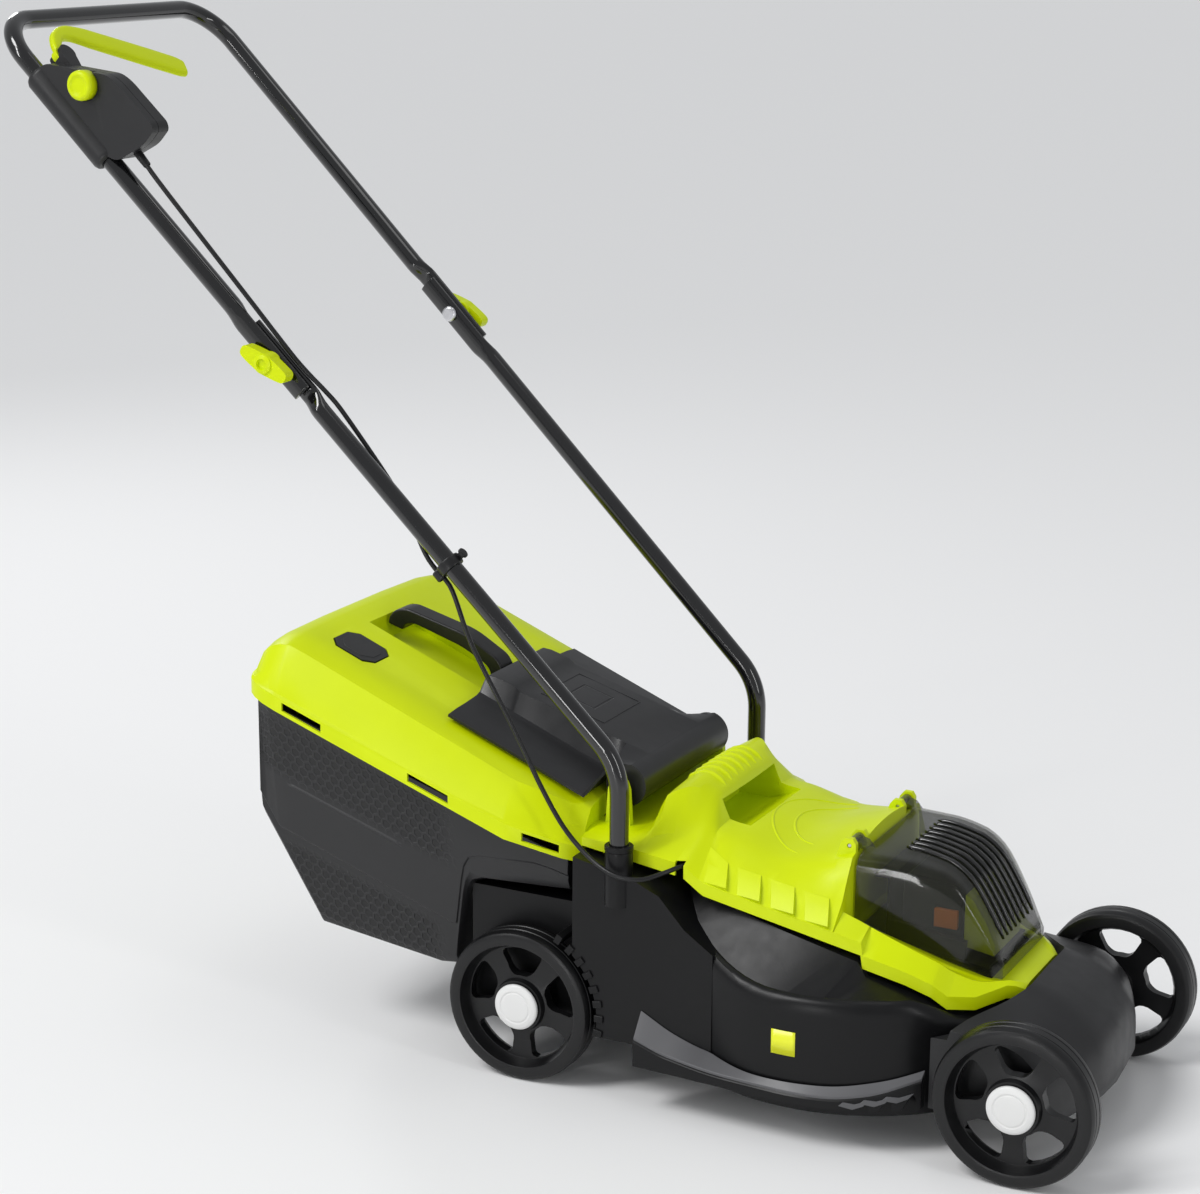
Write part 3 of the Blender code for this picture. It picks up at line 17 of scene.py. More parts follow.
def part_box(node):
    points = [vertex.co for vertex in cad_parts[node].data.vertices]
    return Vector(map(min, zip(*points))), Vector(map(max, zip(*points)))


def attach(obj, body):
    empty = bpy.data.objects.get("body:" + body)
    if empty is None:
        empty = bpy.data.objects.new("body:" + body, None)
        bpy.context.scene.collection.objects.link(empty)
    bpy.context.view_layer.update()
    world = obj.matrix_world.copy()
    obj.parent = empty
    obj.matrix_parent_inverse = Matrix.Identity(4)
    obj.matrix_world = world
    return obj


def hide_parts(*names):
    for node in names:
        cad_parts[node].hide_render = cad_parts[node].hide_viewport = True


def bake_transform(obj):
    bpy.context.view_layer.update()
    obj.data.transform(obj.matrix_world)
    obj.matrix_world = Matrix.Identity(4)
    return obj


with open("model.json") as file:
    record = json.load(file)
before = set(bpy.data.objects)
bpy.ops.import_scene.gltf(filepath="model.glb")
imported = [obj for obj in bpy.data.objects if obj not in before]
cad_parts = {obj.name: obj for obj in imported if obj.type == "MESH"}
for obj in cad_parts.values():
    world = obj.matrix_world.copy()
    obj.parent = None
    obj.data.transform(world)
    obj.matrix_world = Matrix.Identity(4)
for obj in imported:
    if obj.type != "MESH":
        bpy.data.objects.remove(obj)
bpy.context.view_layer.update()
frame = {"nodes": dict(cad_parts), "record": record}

AXLE_LOW, AXLE_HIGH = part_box("axle_rear")
SHIFT = Vector(((AXLE_LOW.x + AXLE_HIGH.x) / 2, 0, 0))
SIDES = (("right", -1), ("left", 1))

HANDLE_SLOPE = math.radians(44.34)
HANDLE_LENGTH = 0.9704
ALONG = Vector((-math.cos(HANDLE_SLOPE), 0, math.sin(HANDLE_SLOPE)))
NORMAL = Vector((math.sin(HANDLE_SLOPE), 0, math.cos(HANDLE_SLOPE)))
BEND = Vector((0.104, 0, 0.3391))
LEG_BOTTOM_Y, LEG_TOP_Y = 0.1646, 0.1828
TUBE_RADIUS = 0.0095
FOLD_S = 0.52
HUB_X = 0.29
WHEELBASE = 0.512
WHEEL_RADIUS, WHEEL_WIDTH, WHEEL_OUTER_Y = 0.0778, 0.033, 0.1816


def mm(table):
    """A table written in millimetres, turned into metres."""
    return [mm(entry) if isinstance(entry, tuple) else entry / 1000 for entry in table]


def handle_point(s, y, n=0.0):
    """Point of the handle: s up from the lower bend, y across, n square to the handle's plane."""
    return BEND + ALONG * s + NORMAL * n + Vector((0, y, 0))


def leg_half_width(s):
    return LEG_BOTTOM_Y + (LEG_TOP_Y - LEG_BOTTOM_Y) * max(s, 0) / HANDLE_LENGTH


# ---------------------------------------------------------------- camera and studio


CAMERA_AT = Vector((1.2183, -2.4392, 1.1687))
CAMERA_ANGLES = (26.56, 14.64, 0.5)
CAMERA_LENS, CAMERA_SENSOR = 83.457, 36
WORLD_COLOUR, WORLD_STRENGTH = (0.95, 0.97, 1.0, 1), 0.44
SUN_FROM, SUN_DEGREES, SUN_STRENGTH = (-0.75, -1.0, 1.7), 22, 1.35
SOFT_BOXES = (
    # name, place, aim, width, height, power
    ("key", (-1.6, -2.4, 2.2), (0.1, 0, 0.3), 0.16, 1.8, 24),
    ("front", (0.15, -2.5, 0.4), (0.3, 0, 0.15), 0.18, 0.9, 7),
    ("top", (0.5, 0.2, 2.6), (0.15, 0, 0.2), 1.2, 0.5, 3),
    ("side", (3.0, -0.9, 1.3), (0.3, 0, 0.2), 0.3, 1.6, 12),
    ("back", (-2.4, 1.6, 2.0), (0, 0, 0.4), 0.5, 1.2, 12),
)
FLOOR_REACH, FLOOR_DROP, FLOOR_GREY, FLOOR_ROUGHNESS = 60, 0.0005, (0.86, 0.86, 0.86, 1), 0.75


def linked(name, data):
    """Puts new data into the scene as an object."""
    obj = bpy.data.objects.new(name, data)
    bpy.context.scene.collection.objects.link(obj)
    return obj


def set_camera():
    azimuth, elevation, roll = [math.radians(angle) for angle in CAMERA_ANGLES]
    level = math.cos(elevation)
    back = Vector((math.sin(azimuth) * level, -math.cos(azimuth) * level, math.sin(elevation)))
    right = Vector((math.cos(azimuth), math.sin(azimuth), 0))
    up = back.cross(right)
    turned_right = right * math.cos(roll) + up * math.sin(roll)
    turned_up = up * math.cos(roll) - right * math.sin(roll)
    camera = bpy.data.cameras.new("camera")
    camera.sensor_fit = "HORIZONTAL"
    camera.sensor_width = CAMERA_SENSOR
    camera.lens = CAMERA_LENS
    holder = linked("camera", camera)
    rotation = Matrix((turned_right, turned_up, back)).transposed().to_4x4()
    holder.matrix_world = Matrix.Translation(CAMERA_AT + SHIFT) @ rotation
    bpy.context.scene.camera = holder


def add_light(name, kind, direction, power):
    """A light of the given kind that shines along the direction."""
    light = bpy.data.lights.new(name, kind)
    light.energy = power
    holder = linked(name, light)
    holder.rotation_euler = Vector(direction).to_track_quat("-Z", "Y").to_euler()
    return light, holder


def set_studio():
    world = bpy.data.worlds.new("studio")
    bpy.context.scene.world = world
    world.use_nodes = True
    background = world.node_tree.nodes["Background"]
    background.inputs["Color"].default_value = WORLD_COLOUR
    background.inputs["Strength"].default_value = WORLD_STRENGTH
    sun, _ = add_light("sun", "SUN", -Vector(SUN_FROM), SUN_STRENGTH)
    sun.angle = math.radians(SUN_DEGREES)
    for name, at, aim, width, height, power in SOFT_BOXES:
        light, holder = add_light(name, "AREA", Vector(aim) - Vector(at), power)
        light.shape = "RECTANGLE"
        light.size, light.size_y = width, height
        holder.location = at
    floor = bpy.data.meshes.new("floor")
    corners = [(x * FLOOR_REACH, y * FLOOR_REACH, 0) for x, y in ((-1, -1), (1, -1), (1, 1), (-1, 1))]
    floor.from_pydata(corners, [], [(0, 1, 2, 3)])
    ground = linked("floor", floor)
    ground.location.z = -FLOOR_DROP
    paint = bpy.data.materials.new("floor_paint")
    paint.use_nodes = True
    shader = paint.node_tree.nodes["Principled BSDF"]
    shader.inputs["Base Color"].default_value = FLOOR_GREY
    shader.inputs["Roughness"].default_value = FLOOR_ROUGHNESS
    floor.materials.append(paint)


# ---------------------------------------------------------------- materials


def fill(tree, made, values):
    """Sets a node's inputs; a value that is another node's output is linked."""
    for name, value in values.items():
        if isinstance(value, bpy.types.NodeSocket):
            tree.links.new(value, made.inputs[name])
        else:
            made.inputs[name].default_value = value


def node(tree, kind, values=None, **settings):
    made = tree.nodes.new(kind)
    for name, value in settings.items():
        setattr(made, name, value)
    fill(tree, made, values or {})
    return made


def calc(tree, operation, *terms):
    return node(tree, "ShaderNodeMath", dict(enumerate(terms)), operation=operation).outputs["Value"]


def ramp(tree, value, low, high, bottom=0.0, top=1.0):
    """Carries low..high over to bottom..top and holds it there."""
    limits = {"Value": value, "From Min": low, "From Max": high, "To Min": bottom, "To Max": top}
    return node(tree, "ShaderNodeMapRange", limits).outputs["Result"]


PATCH_SCALE, SCUFF_SCALE = 9.0, 60.0
COAT_ROUGHNESS = 0.08
# RELIEF_SHADING scales the painted highlight and painted shade laid on a relief's high and low places.
RELIEF_SHADING, RELIEF_DEPTH = 1.1, 0.002


def moulded(
    name, colour, roughness, variation=0.07, grain=700.0, bump=0.00005, wear=0.25,
    metallic=0.0, coat=0.0, alpha=1.0, height=None, shine=0.5,
):
    """A moulded, painted or cast surface: mottled colour, fine grain, uneven gloss, lighter edges.

    height is a function that adds a relief, which also lightens its high places and darkens its low places:
    painted highlight and painted shade.
    """
    material = bpy.data.materials.new(name)
    material.use_nodes = True
    tree = material.node_tree
    where = node(tree, "ShaderNodeTexCoord").outputs["Object"]

    def noise(scale, detail):
        settings = {"Vector": where, "Scale": scale, "Detail": detail}
        return node(tree, "ShaderNodeTexNoise", settings).outputs["Fac"]

    value = ramp(tree, noise(PATCH_SCALE, 4.0), 0.3, 0.7, 1 - variation, 1 + variation)
    scuffs = noise(SCUFF_SCALE, 3.0)
    grained = {"Height": noise(grain, 2.0), "Strength": 0.5, "Distance": bump}
    normal = node(tree, "ShaderNodeBump", grained).outputs["Normal"]
    if height:
        relief = height(tree, where)
        # Painted shade and highlight: the colour darkens in the relief's low places and lightens on its high
        # places.
        value = calc(tree, "MULTIPLY", calc(tree, "MULTIPLY_ADD", RELIEF_SHADING, relief, 1.0), value)
        pressed = {"Height": relief, "Strength": 1.0, "Distance": RELIEF_DEPTH, "Normal": normal}
        normal = node(tree, "ShaderNodeBump", pressed).outputs["Normal"]
    shade = node(tree, "ShaderNodeHueSaturation", {"Color": (*colour, 1), "Value": value})
    pointiness = node(tree, "ShaderNodeNewGeometry").outputs["Pointiness"]
    worn = calc(tree, "MULTIPLY", ramp(tree, pointiness, 0.52, 0.62, 0.0, wear), scuffs)
    pale = tuple(min(1.0, c * 1.25 + 0.05) for c in colour)
    layers = {"Factor": worn, "A": shade.outputs["Color"], "B": (*pale, 1)}
    surface = {
        "Base Color": node(tree, "ShaderNodeMix", layers, data_type="RGBA").outputs["Result"],
        "Roughness": ramp(tree, scuffs, 0.3, 0.7, roughness - 0.03, roughness + 0.04),
        "Normal": normal, "Metallic": metallic, "Specular IOR Level": shine,
        "Coat Weight": coat, "Coat Roughness": COAT_ROUGHNESS, "Alpha": alpha,
    }
    fill(tree, tree.nodes["Principled BSDF"], surface)
    return material


FINISHES = {
    "lime": moulded("lime_plastic", (0.59, 0.71, 0.0), 0.36, variation=0.03, wear=0.25, shine=0.2),
    "deck_black": moulded("deck_plastic", (0.006, 0.006, 0.0065), 0.34, variation=0.03, wear=0.08,
        shine=0.22),
    "charcoal": moulded("charcoal_plastic", (0.015, 0.015, 0.016), 0.4, bump=0.00009, wear=0.12, shine=0.38),
    "black": moulded("black_plastic", (0.0055, 0.0055, 0.006), 0.34, wear=0.08, shine=0.4),
    # comb_grey is a painted highlight: pale grey standing in for light on the upper face of a dark comb
    # plate.
    "comb_grey": moulded("comb_plastic", (0.085, 0.085, 0.09), 0.42, wear=0.2),
    "wheel_black": moulded("wheel_plastic", (0.005, 0.005, 0.0055), 0.36, wear=0.06, shine=0.38),
    "white": moulded("white_plastic", (0.7, 0.7, 0.69), 0.35, variation=0.02),
    "orange": moulded("orange_plastic", (0.95, 0.26, 0.02), 0.4),
    "smoke": moulded("smoked_plastic", (0.012, 0.013, 0.006), 0.09, variation=0.05, bump=0.00001, coat=0.4,
        alpha=0.44),
    "tube_black": moulded("tube_paint", (0.003, 0.003, 0.0035), 0.14, grain=260.0, bump=0.00002, wear=0.03,
        coat=0.9, shine=0.35),
    "steel": moulded("zinc_plate", (0.62, 0.62, 0.64), 0.28, grain=1500.0, metallic=1.0),
    "alloy": moulded("cast_alloy", (0.5, 0.5, 0.51), 0.45, grain=500.0, metallic=1.0),
    "copper": moulded("winding", (0.5, 0.2, 0.09), 0.38, grain=1200.0, metallic=1.0),
    "cable": moulded("cable_jacket", (0.006, 0.006, 0.0065), 0.36, wear=0.05, shine=0.4),
}


# ---------------------------------------------------------------- patterned finishes


def window(tree, value, low, high, soft):
    """1 where low < value < high, falling to 0 outside over the soft width."""
    over = ramp(tree, value, low - soft, low + soft)
    return calc(tree, "MULTIPLY", over, ramp(tree, value, high - soft, high + soft, 1.0, 0.0))


def hex_cells(tree, u, v, size):
    """Pits of a honeycomb of the given cell width: 1 inside a cell, 0 on the walls between."""
    tall = math.sqrt(3)
    a, b = calc(tree, "DIVIDE", u, size), calc(tree, "DIVIDE", v, size)

    def offset(value, shift, period):
        moved = calc(tree, "ADD", value, shift + period * 200)
        return calc(tree, "SUBTRACT", calc(tree, "MODULO", moved, period), period / 2)

    def reach(du, dv):
        du, dv = calc(tree, "ABSOLUTE", du), calc(tree, "ABSOLUTE", dv)
        slant = calc(tree, "ADD", calc(tree, "MULTIPLY", du, 0.5), calc(tree, "MULTIPLY", dv, tall / 2))
        return calc(tree, "MAXIMUM", du, slant)

    near = reach(offset(a, 0.0, 1.0), offset(b, 0.0, tall))
    far = reach(offset(a, 0.5, 1.0), offset(b, tall / 2, tall))
    inside = calc(tree, "MINIMUM", near, far)
    return ramp(tree, inside, 0.34, 0.42, 1.0, 0.0)


def tub_height(tree, where):
    """Two honeycomb bands and a fine crease line, all parallel to the rim; the pits come out darker as
    painted shade and the line lighter as painted highlight.
    """
    x, y, z = node(tree, "ShaderNodeSeparateXYZ", {"Vector": where}).outputs
    level = calc(tree, "ADD", z, calc(tree, "MULTIPLY", x, 0.36))
    across = calc(tree, "ADD", x, y)
    cells = hex_cells(tree, across, level, 0.0105)

    def patch(low, high, soft, x_low, x_high, x_soft):
        inside = window(tree, level, low, high, soft)
        return calc(tree, "MULTIPLY", inside, window(tree, x, x_low, x_high, x_soft))

    upper = patch(0.176, 0.238, 0.006, -0.4, -0.085, 0.012)
    lower = patch(0.03, 0.098, 0.004, -0.275, -0.105, 0.01)
    bands = calc(tree, "MAXIMUM", upper, lower)
    line = patch(0.1655, 0.1685, 0.0008, -0.265, -0.14, 0.004)
    # Sunk pits are painted darker (painted shade) and the raised line lighter (painted highlight) by the
    # relief shading in moulded().
    pits = calc(tree, "MULTIPLY", calc(tree, "MULTIPLY", cells, bands), -0.5)
    return calc(tree, "ADD", pits, calc(tree, "MULTIPLY", line, 0.8))


def flap_height(tree, where):
    """A small plain outline engraved in the panel, painted darker as painted shade in the groove."""
    x, y, _ = node(tree, "ShaderNodeSeparateXYZ", {"Vector": where}).outputs
    line, soft = 0.002, 0.0006
    low, high, half = -0.024, 0.01, 0.022
    whole = calc(tree, "MULTIPLY", window(tree, x, low, high, soft), window(tree, y, -half, half, soft))
    inside = window(tree, x, low + line, high - line, soft)
    hollow = calc(tree, "MULTIPLY", inside, window(tree, y, line - half, half - line, soft))
    # Negative relief: the engraved line is sunk and painted darker, a painted shade.
    return calc(tree, "MULTIPLY", calc(tree, "SUBTRACT", whole, hollow), -0.5)


TUB_FINISH = moulded(
    "tub_plastic", (0.016, 0.016, 0.017), 0.38, bump=0.00008, wear=0.12, height=tub_height, shine=0.42
)
FLAP_FINISH = moulded(
    "flap_plastic", (0.011, 0.011, 0.012), 0.32, bump=0.00005, wear=0.1, height=flap_height, shine=0.42
)
RIB_FINISH = moulded("rib_plastic", (0.006, 0.006, 0.006), 0.16, wear=0.05, coat=0.5)
STICKER_FINISH = moulded("sticker_film", (0.74, 0.78, 0.02), 0.3, variation=0.02, wear=0.05)


# ---------------------------------------------------------------- shapes


def loft(rings, closed_ends=True, loop=False):
    """Skins rings of equal length. Each ring is a closed loop of points; loop joins the last to the first."""
    bm = bmesh.new()
    made = [[bm.verts.new(p) for p in ring] for ring in rings]
    count = len(made[0])
    pairs = list(zip(made, made[1:])) + ([(made[-1], made[0])] if loop else [])
    for first, second in pairs:
        for i in range(count):
            j = (i + 1) % count
            bm.faces.new((first[i], first[j], second[j], second[i]))
    if closed_ends and not loop:
        bm.faces.new(made[0])
        bm.faces.new(list(reversed(made[-1])))
    return bm


def prism(points, vector):
    vector = Vector(vector)
    points = [Vector(p) for p in points]
    return loft([points, [p + vector for p in points]])


def side_prism(profile, y_low, y_high):
    """An (x, z) profile drawn across the mower from y_low to y_high."""
    return prism([(x, y_low, z) for x, z in profile], (0, y_high - y_low, 0))


def side_block(profile, side, inner, outer):
    """A side prism on one side only, between two distances from the mower's middle."""
    low, high = sorted((side * inner, side * outer))
    return side_prism(profile, low, high)


def block(low, high):
    (x0, y0, z0), (x1, y1, z1) = low, high
    return prism([(x0, y0, z0), (x1, y0, z0), (x1, y1, z0), (x0, y1, z0)], (0, 0, z1 - z0))


def ring_about(centre, first, second, radius, sides):
    turn = 2 * math.pi / sides
    angles = [i * turn for i in range(sides)]
    return [centre + (first * math.cos(angle) + second * math.sin(angle)) * radius for angle in angles]


def polar(radius, degrees):
    turn = math.radians(degrees)
    return radius * math.cos(turn), radius * math.sin(turn)


def circle(centre, direction, radius, sides):
    along = Vector(direction).normalized()
    side = Vector((0, 0, 1)) if abs(along.z) < 0.9 else Vector((1, 0, 0))
    first = along.cross(side).normalized()
    return ring_about(Vector(centre), first, along.cross(first), radius, sides)


def turned(start, direction, profile, sides=48, ring=False):
    """A turned solid: profile is (radius, distance along the axis). A ring's profile is a closed loop."""
    along = Vector(direction).normalized()
    return loft([circle(Vector(start) + along * h, direction, r, sides) for r, h in profile], loop=ring)


def rod(start, end, radius, sides=24):
    direction = Vector(end) - Vector(start)
    return turned(start, direction, [(radius, 0), (radius, direction.length)], sides)


def cross_rod(at, y_start, y_end, radius, sides=24):
    """A rod across the mower at the (x, z) place."""
    x, z = at
    return rod((x, y_start, z), (x, y_end, z), radius, sides)


def upright_rod(x, y, z_low, z_high, radius, sides=24):
    return rod((x, y, z_low), (x, y, z_high), radius, sides)


def swept(points, radius, sides=8, hint=Vector((0, 1, 0)), tapered=False):
    """A round bar along a line of points; hint is never along the line."""
    points = [Vector(p) for p in points]
    rings = []
    for i, point in enumerate(points):
        tangent = (points[min(i + 1, len(points) - 1)] - points[max(i - 1, 0)]).normalized()
        first = hint.cross(tangent).normalized()
        second = tangent.cross(first).normalized()
        size = radius * (0.45 if tapered and i in (0, len(points) - 1) else 1)
        rings.append(ring_about(point, first, second, size, sides))
    return loft(rings)


def between(x, table):
    """Reads a value from (x, value) pairs by straight lines."""
    if x <= table[0][0]:
        return table[0][1]
    for (x0, a), (x1, b) in zip(table, table[1:]):
        if x <= x1:
            return a + (b - a) * (x - x0) / (x1 - x0)
    return table[-1][1]


def column(table, k):
    """The (first, k-th) pairs of a table's rows."""
    return [(row[0], row[k]) for row in table]


def smooth_route(knots, spacing):
    """Points a fixed distance apart on a smooth curve through the knots."""
    knots = [Vector(p) for p in knots]
    ends = [2 * knots[0] - knots[1]] + knots + [2 * knots[-1] - knots[-2]]
    fine = []
    for a, b, c, d in zip(ends, ends[1:], ends[2:], ends[3:]):
        for i in range(24):
            t = i / 24
            bend = (2 * a - 5 * b + 4 * c - d) * t * t + (3 * b - a - 3 * c + d) * t ** 3
            fine.append(0.5 * (2 * b + (c - a) * t + bend))
    fine.append(knots[-1])
    kept, gone = [fine[0]], 0.0
    for previous, point in zip(fine, fine[1:]):
        gone += (point - previous).length
        if gone >= spacing:
            kept.append(point)
            gone = 0.0
    kept[-1] = fine[-1]
    return kept


def rounded(corners, radius, steps=4):
    """Rounds the corners of a closed loop of 2-D points."""
    loop = []
    count = len(corners)
    for i, corner in enumerate(corners):
        here = Vector(corner)
        before = (Vector(corners[i - 1]) - here)
        after = (Vector(corners[(i + 1) % count]) - here)
        reach = min(radius, before.length * 0.45, after.length * 0.45)
        start = here + before.normalized() * reach
        end = here + after.normalized() * reach
        for k in range(steps + 1):
            t = k / steps
            loop.append((1 - t) ** 2 * start + 2 * t * (1 - t) * here + t ** 2 * end)
    return [tuple(p) for p in loop]


# ---------------------------------------------------------------- making pieces


def mesh_object(name, bm, outward=True):
    """Links a bmesh drawn in the axle frame as an object of the CAD frame."""
    if outward:
        bmesh.ops.recalc_face_normals(bm, faces=bm.faces)
        if bm.calc_volume(signed=True) < 0:
            bmesh.ops.reverse_faces(bm, faces=bm.faces)
    bmesh.ops.translate(bm, verts=bm.verts, vec=SHIFT)
    mesh = bpy.data.meshes.new(name)
    bm.to_mesh(mesh)
    bm.free()
    obj = bpy.data.objects.new(name, mesh)
    bpy.context.scene.collection.objects.link(obj)
    return obj


def joined(shapes):
    """Several shapes as one, without joining their surfaces."""
    whole = bmesh.new()
    for bm in shapes:
        mesh = bpy.data.meshes.new("part")
        bm.to_mesh(mesh)
        bm.free()
        whole.from_mesh(mesh)
        bpy.data.meshes.remove(mesh)
    return whole


def bake(obj):
    """Makes the object's modifiers part of its mesh."""
    bpy.context.view_layer.update()
    made = bpy.data.meshes.new_from_object(obj.evaluated_get(bpy.context.evaluated_depsgraph_get()))
    obj.modifiers.clear()
    old, obj.data = obj.data, made
    bpy.data.meshes.remove(old)


def carve(obj, operation, shapes):
    helpers = [mesh_object("aid", bm) for bm in shapes]
    for other in helpers:
        modifier = obj.modifiers.new("carve", "BOOLEAN")
        modifier.operation = operation
        modifier.solver = "EXACT"
        modifier.object = other
    bake(obj)
    for other in helpers:
        mesh = other.data
        bpy.data.objects.remove(other, do_unlink=True)
        bpy.data.meshes.remove(mesh)


def shell(name, rings, thickness, first_wall=True, last_wall=True):
    """A thin-walled cover. Each ring is an open section from the right rim round to the left."""
    bm = bmesh.new()
    made = [[bm.verts.new(p) for p in ring] for ring in rings]
    for first, second in zip(made, made[1:]):
        for a, b, c, d in zip(first, first[1:], second[1:], second):
            bm.faces.new((a, b, c, d))
    if first_wall:
        bm.faces.new(list(reversed(made[0])))
    if last_wall:
        bm.faces.new(made[-1])
    bm.normal_update()
    middle = sum((v.co for v in bm.verts), Vector()) / len(bm.verts)
    faced = sum((f.calc_center_median() - middle).dot(f.normal) * f.calc_area() for f in bm.faces)
    if faced < 0:
        bmesh.ops.reverse_faces(bm, faces=bm.faces)
    obj = mesh_object(name, bm, outward=False)
    solidify = obj.modifiers.new("wall", "SOLIDIFY")
    solidify.thickness = thickness
    solidify.offset = -1
    solidify.use_even_offset = True
    solidify.use_quality_normals = True
    bake(obj)
    return obj


def smooth_faces(obj):
    for polygon in obj.data.polygons:
        polygon.use_smooth = True


def round_edges(obj, width, segments, angle=30):
    weld = obj.modifiers.new("weld", "WELD")
    weld.merge_threshold = 0.00002
    flat = obj.modifiers.new("flat", "DECIMATE")
    flat.decimate_type = "DISSOLVE"
    flat.angle_limit = math.radians(0.6)
    bevel = obj.modifiers.new("edges", "BEVEL")
    bevel.width = width
    bevel.segments = segments
    bevel.limit_method = "ANGLE"
    bevel.angle_limit = math.radians(angle)
    bevel.use_clamp_overlap = True
    smooth_faces(obj)
    normals = obj.modifiers.new("normals", "WEIGHTED_NORMAL")
    normals.keep_sharp = True


REPLACED = set()
SLOTS = {part["node"]: part["material_slot"] for part in frame["record"]["subparts"]}


def dress(obj, slot, cad=(), finish=None):
    """Gives a new piece its finish, picked by slot unless one is given, and notes the CAD nodes it stands
    for.
    """
    obj.data.materials.clear()
    obj.data.materials.append(finish or FINISHES[slot])
    if cad:
        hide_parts(*cad)
        REPLACED.update(cad)


def piece(obj, body, slot, cad=(), width=0.001, segments=3, angle=30, finish=None):
    """Finishes a new rigid piece: round edges, material and the body it rides on."""
    if width:
        round_edges(obj, width, segments, angle)
    else:
        smooth_faces(obj)
    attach(obj, body)
    dress(obj, slot, cad, finish)


def blended(obj, slot, cad):
    """Finishes a new soft piece: smooth faces, its finish, the CAD node it stands for, and its mesh baked
    into the CAD frame.
    """
    smooth_faces(obj)
    dress(obj, slot, [cad])
    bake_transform(obj)


def soften(name):
    """Gives a CAD node its finish and small rounded edges."""
    obj = frame["nodes"][name]
    obj.data.materials.clear()
    obj.data.materials.append(FINISHES[SLOTS[name]])
    round_edges(obj, 0.001, 2)


def surface_of(obj):
    """A function that gives the height of the object's top at (x, y) of the axle frame."""
    bm = bmesh.new()
    bm.from_mesh(obj.data)
    tree = BVHTree.FromBMesh(bm)
    bm.free()

    def height(x, y, start=1.0):
        hit = tree.ray_cast(Vector((x, y, start)) + SHIFT, Vector((0, 0, -1)))
        return hit[0].z if hit[0] else None

    return height


# ---------------------------------------------------------------- wheels


# (radius, distance from the inner face) round the wheel's section
WHEEL_PROFILE = mm([
    (4.9, 2), (13, 2), (16, 10), (58, 10), (61.5, 2), (63.5, 0.2), (72.2, 0.4), (76, 2.5), (77.8, 6.5),
    (77.8, 10.4), (77.1, 10.9), (77.1, 12.1), (77.8, 12.6), (77.8, 20.4), (77.1, 20.9), (77.1, 22.1),
    (77.8, 22.6), (77.8, 26.5), (76, 30.5), (72.2, 32.6), (66, 32.9), (63.8, 31.8), (61.8, 23.5), (59, 19),
    (42, 18.5), (27.5, 22.5), (26, 28.5), (4.9, 28.5),
])
SPOKES = 5
# (radius, degrees) down one side of an opening between two spokes
WINDOW_SIDE = [(0.0298, 0), (0.0298, 9), (0.031, 14.5), (0.0338, 19), (0.038, 22), (0.053, 24)]
WINDOW_SIDE += [(0.056, 22.5), (0.0578, 19), (0.058, 10), (0.058, 0)]
WINDOW = [(0.0298, -9)] + WINDOW_SIDE + [(radius, -degrees) for radius, degrees in WINDOW_SIDE[-2:1:-1]]


def make_wheels():
    cap = mm([
        (23.5, 0), (23.5, 2), (22.8, 3.2), (20.5, 4.2), (17, 4.7), (16.2, 4.1), (15, 4.1), (14.2, 4.8),
        (6, 5.2),
    ])
    for end, axle_x in (("rear", 0.0), ("front", WHEELBASE)):
        for name, side in SIDES:
            centre = Vector((axle_x, 0, WHEEL_RADIUS))
            inner = centre + Vector((0, side * (WHEEL_OUTER_Y - WHEEL_WIDTH), 0))
            tyre = turned(inner, (0, side, 0), WHEEL_PROFILE, 72, ring=True)
            wheel = mesh_object(f"tyre_{end}_{name}", tyre)
            windows = []
            for i in range(SPOKES):
                corners = [polar(radius, 360 * (i + 0.25) / SPOKES + degrees) for radius, degrees in WINDOW]
                loop = [centre + Vector((x, side * 0.14, z)) for x, z in corners]
                windows.append(prism(loop, (0, side * 0.05, 0)))
            carve(wheel, "DIFFERENCE", windows)
            body = f"wheel_{end}_{name}_group"
            piece(wheel, body, "wheel_black", [f"wheel_{end}_{name}"], width=0.0011, segments=2)
            start = centre + Vector((0, side * (WHEEL_OUTER_Y - 0.003), 0))
            disc = mesh_object(f"cap_{end}_{name}", turned(start, (0, side, 0), cap, 56))
            piece(disc, body, "white", [f"hub_cap_{end}_{name}"], width=0.0004, segments=2, angle=40)


# ---------------------------------------------------------------- handle


def tube_ring(centre, lateral, square, flat, side, sides=28):
    """One ring of handle tube; flat 1 is pressed to the outside (side +1) or inside (-1)."""
    ring = []
    for k in range(sides):
        turn = 2 * math.pi * k / sides
        a, b = TUBE_RADIUS * math.cos(turn), TUBE_RADIUS * math.sin(turn)
        pressed = (a * 0.44 + side * 0.0049) * flat + a * (1 - flat)
        ring.append(centre + lateral * pressed + square * b * (1 + 0.12 * flat))
    return ring


def make_lower_leg(name, side):
    radius, steps = 0.07, 14
    turn_angle = math.pi / 2 - HANDLE_SLOPE
    reach = radius * math.tan(turn_angle / 2)
    outward = Vector((0, side, 0))
    rings = []

    def station(centre, tangent, flat):
        rings.append(tube_ring(centre, outward, tangent.cross(outward).normalized() * side, flat, -1))

    y = side * LEG_BOTTOM_Y
    station(Vector((BEND.x, y, 0.2056)), Vector((0, 0, 1)), 0)
    start = Vector((BEND.x, y, BEND.z - reach))
    for i in range(steps + 1):
        a = turn_angle * i / steps
        at = start + Vector((-radius * (1 - math.cos(a)), 0, radius * math.sin(a)))
        station(at, Vector((-math.sin(a), 0, math.cos(a))), 0)
    for s, flat in ((0.452, 0), (0.458, 0.12), (0.464, 0.5), (0.47, 0.9), (0.475, 1), (0.5635, 1)):
        station(handle_point(s, side * leg_half_width(s)), ALONG, flat)
    leg = mesh_object(f"lower_tube_{name}", loft(rings))
    piece(leg, "chassis", "tube_black", [f"lower_leg_{name}"], width=0.0008, angle=50)


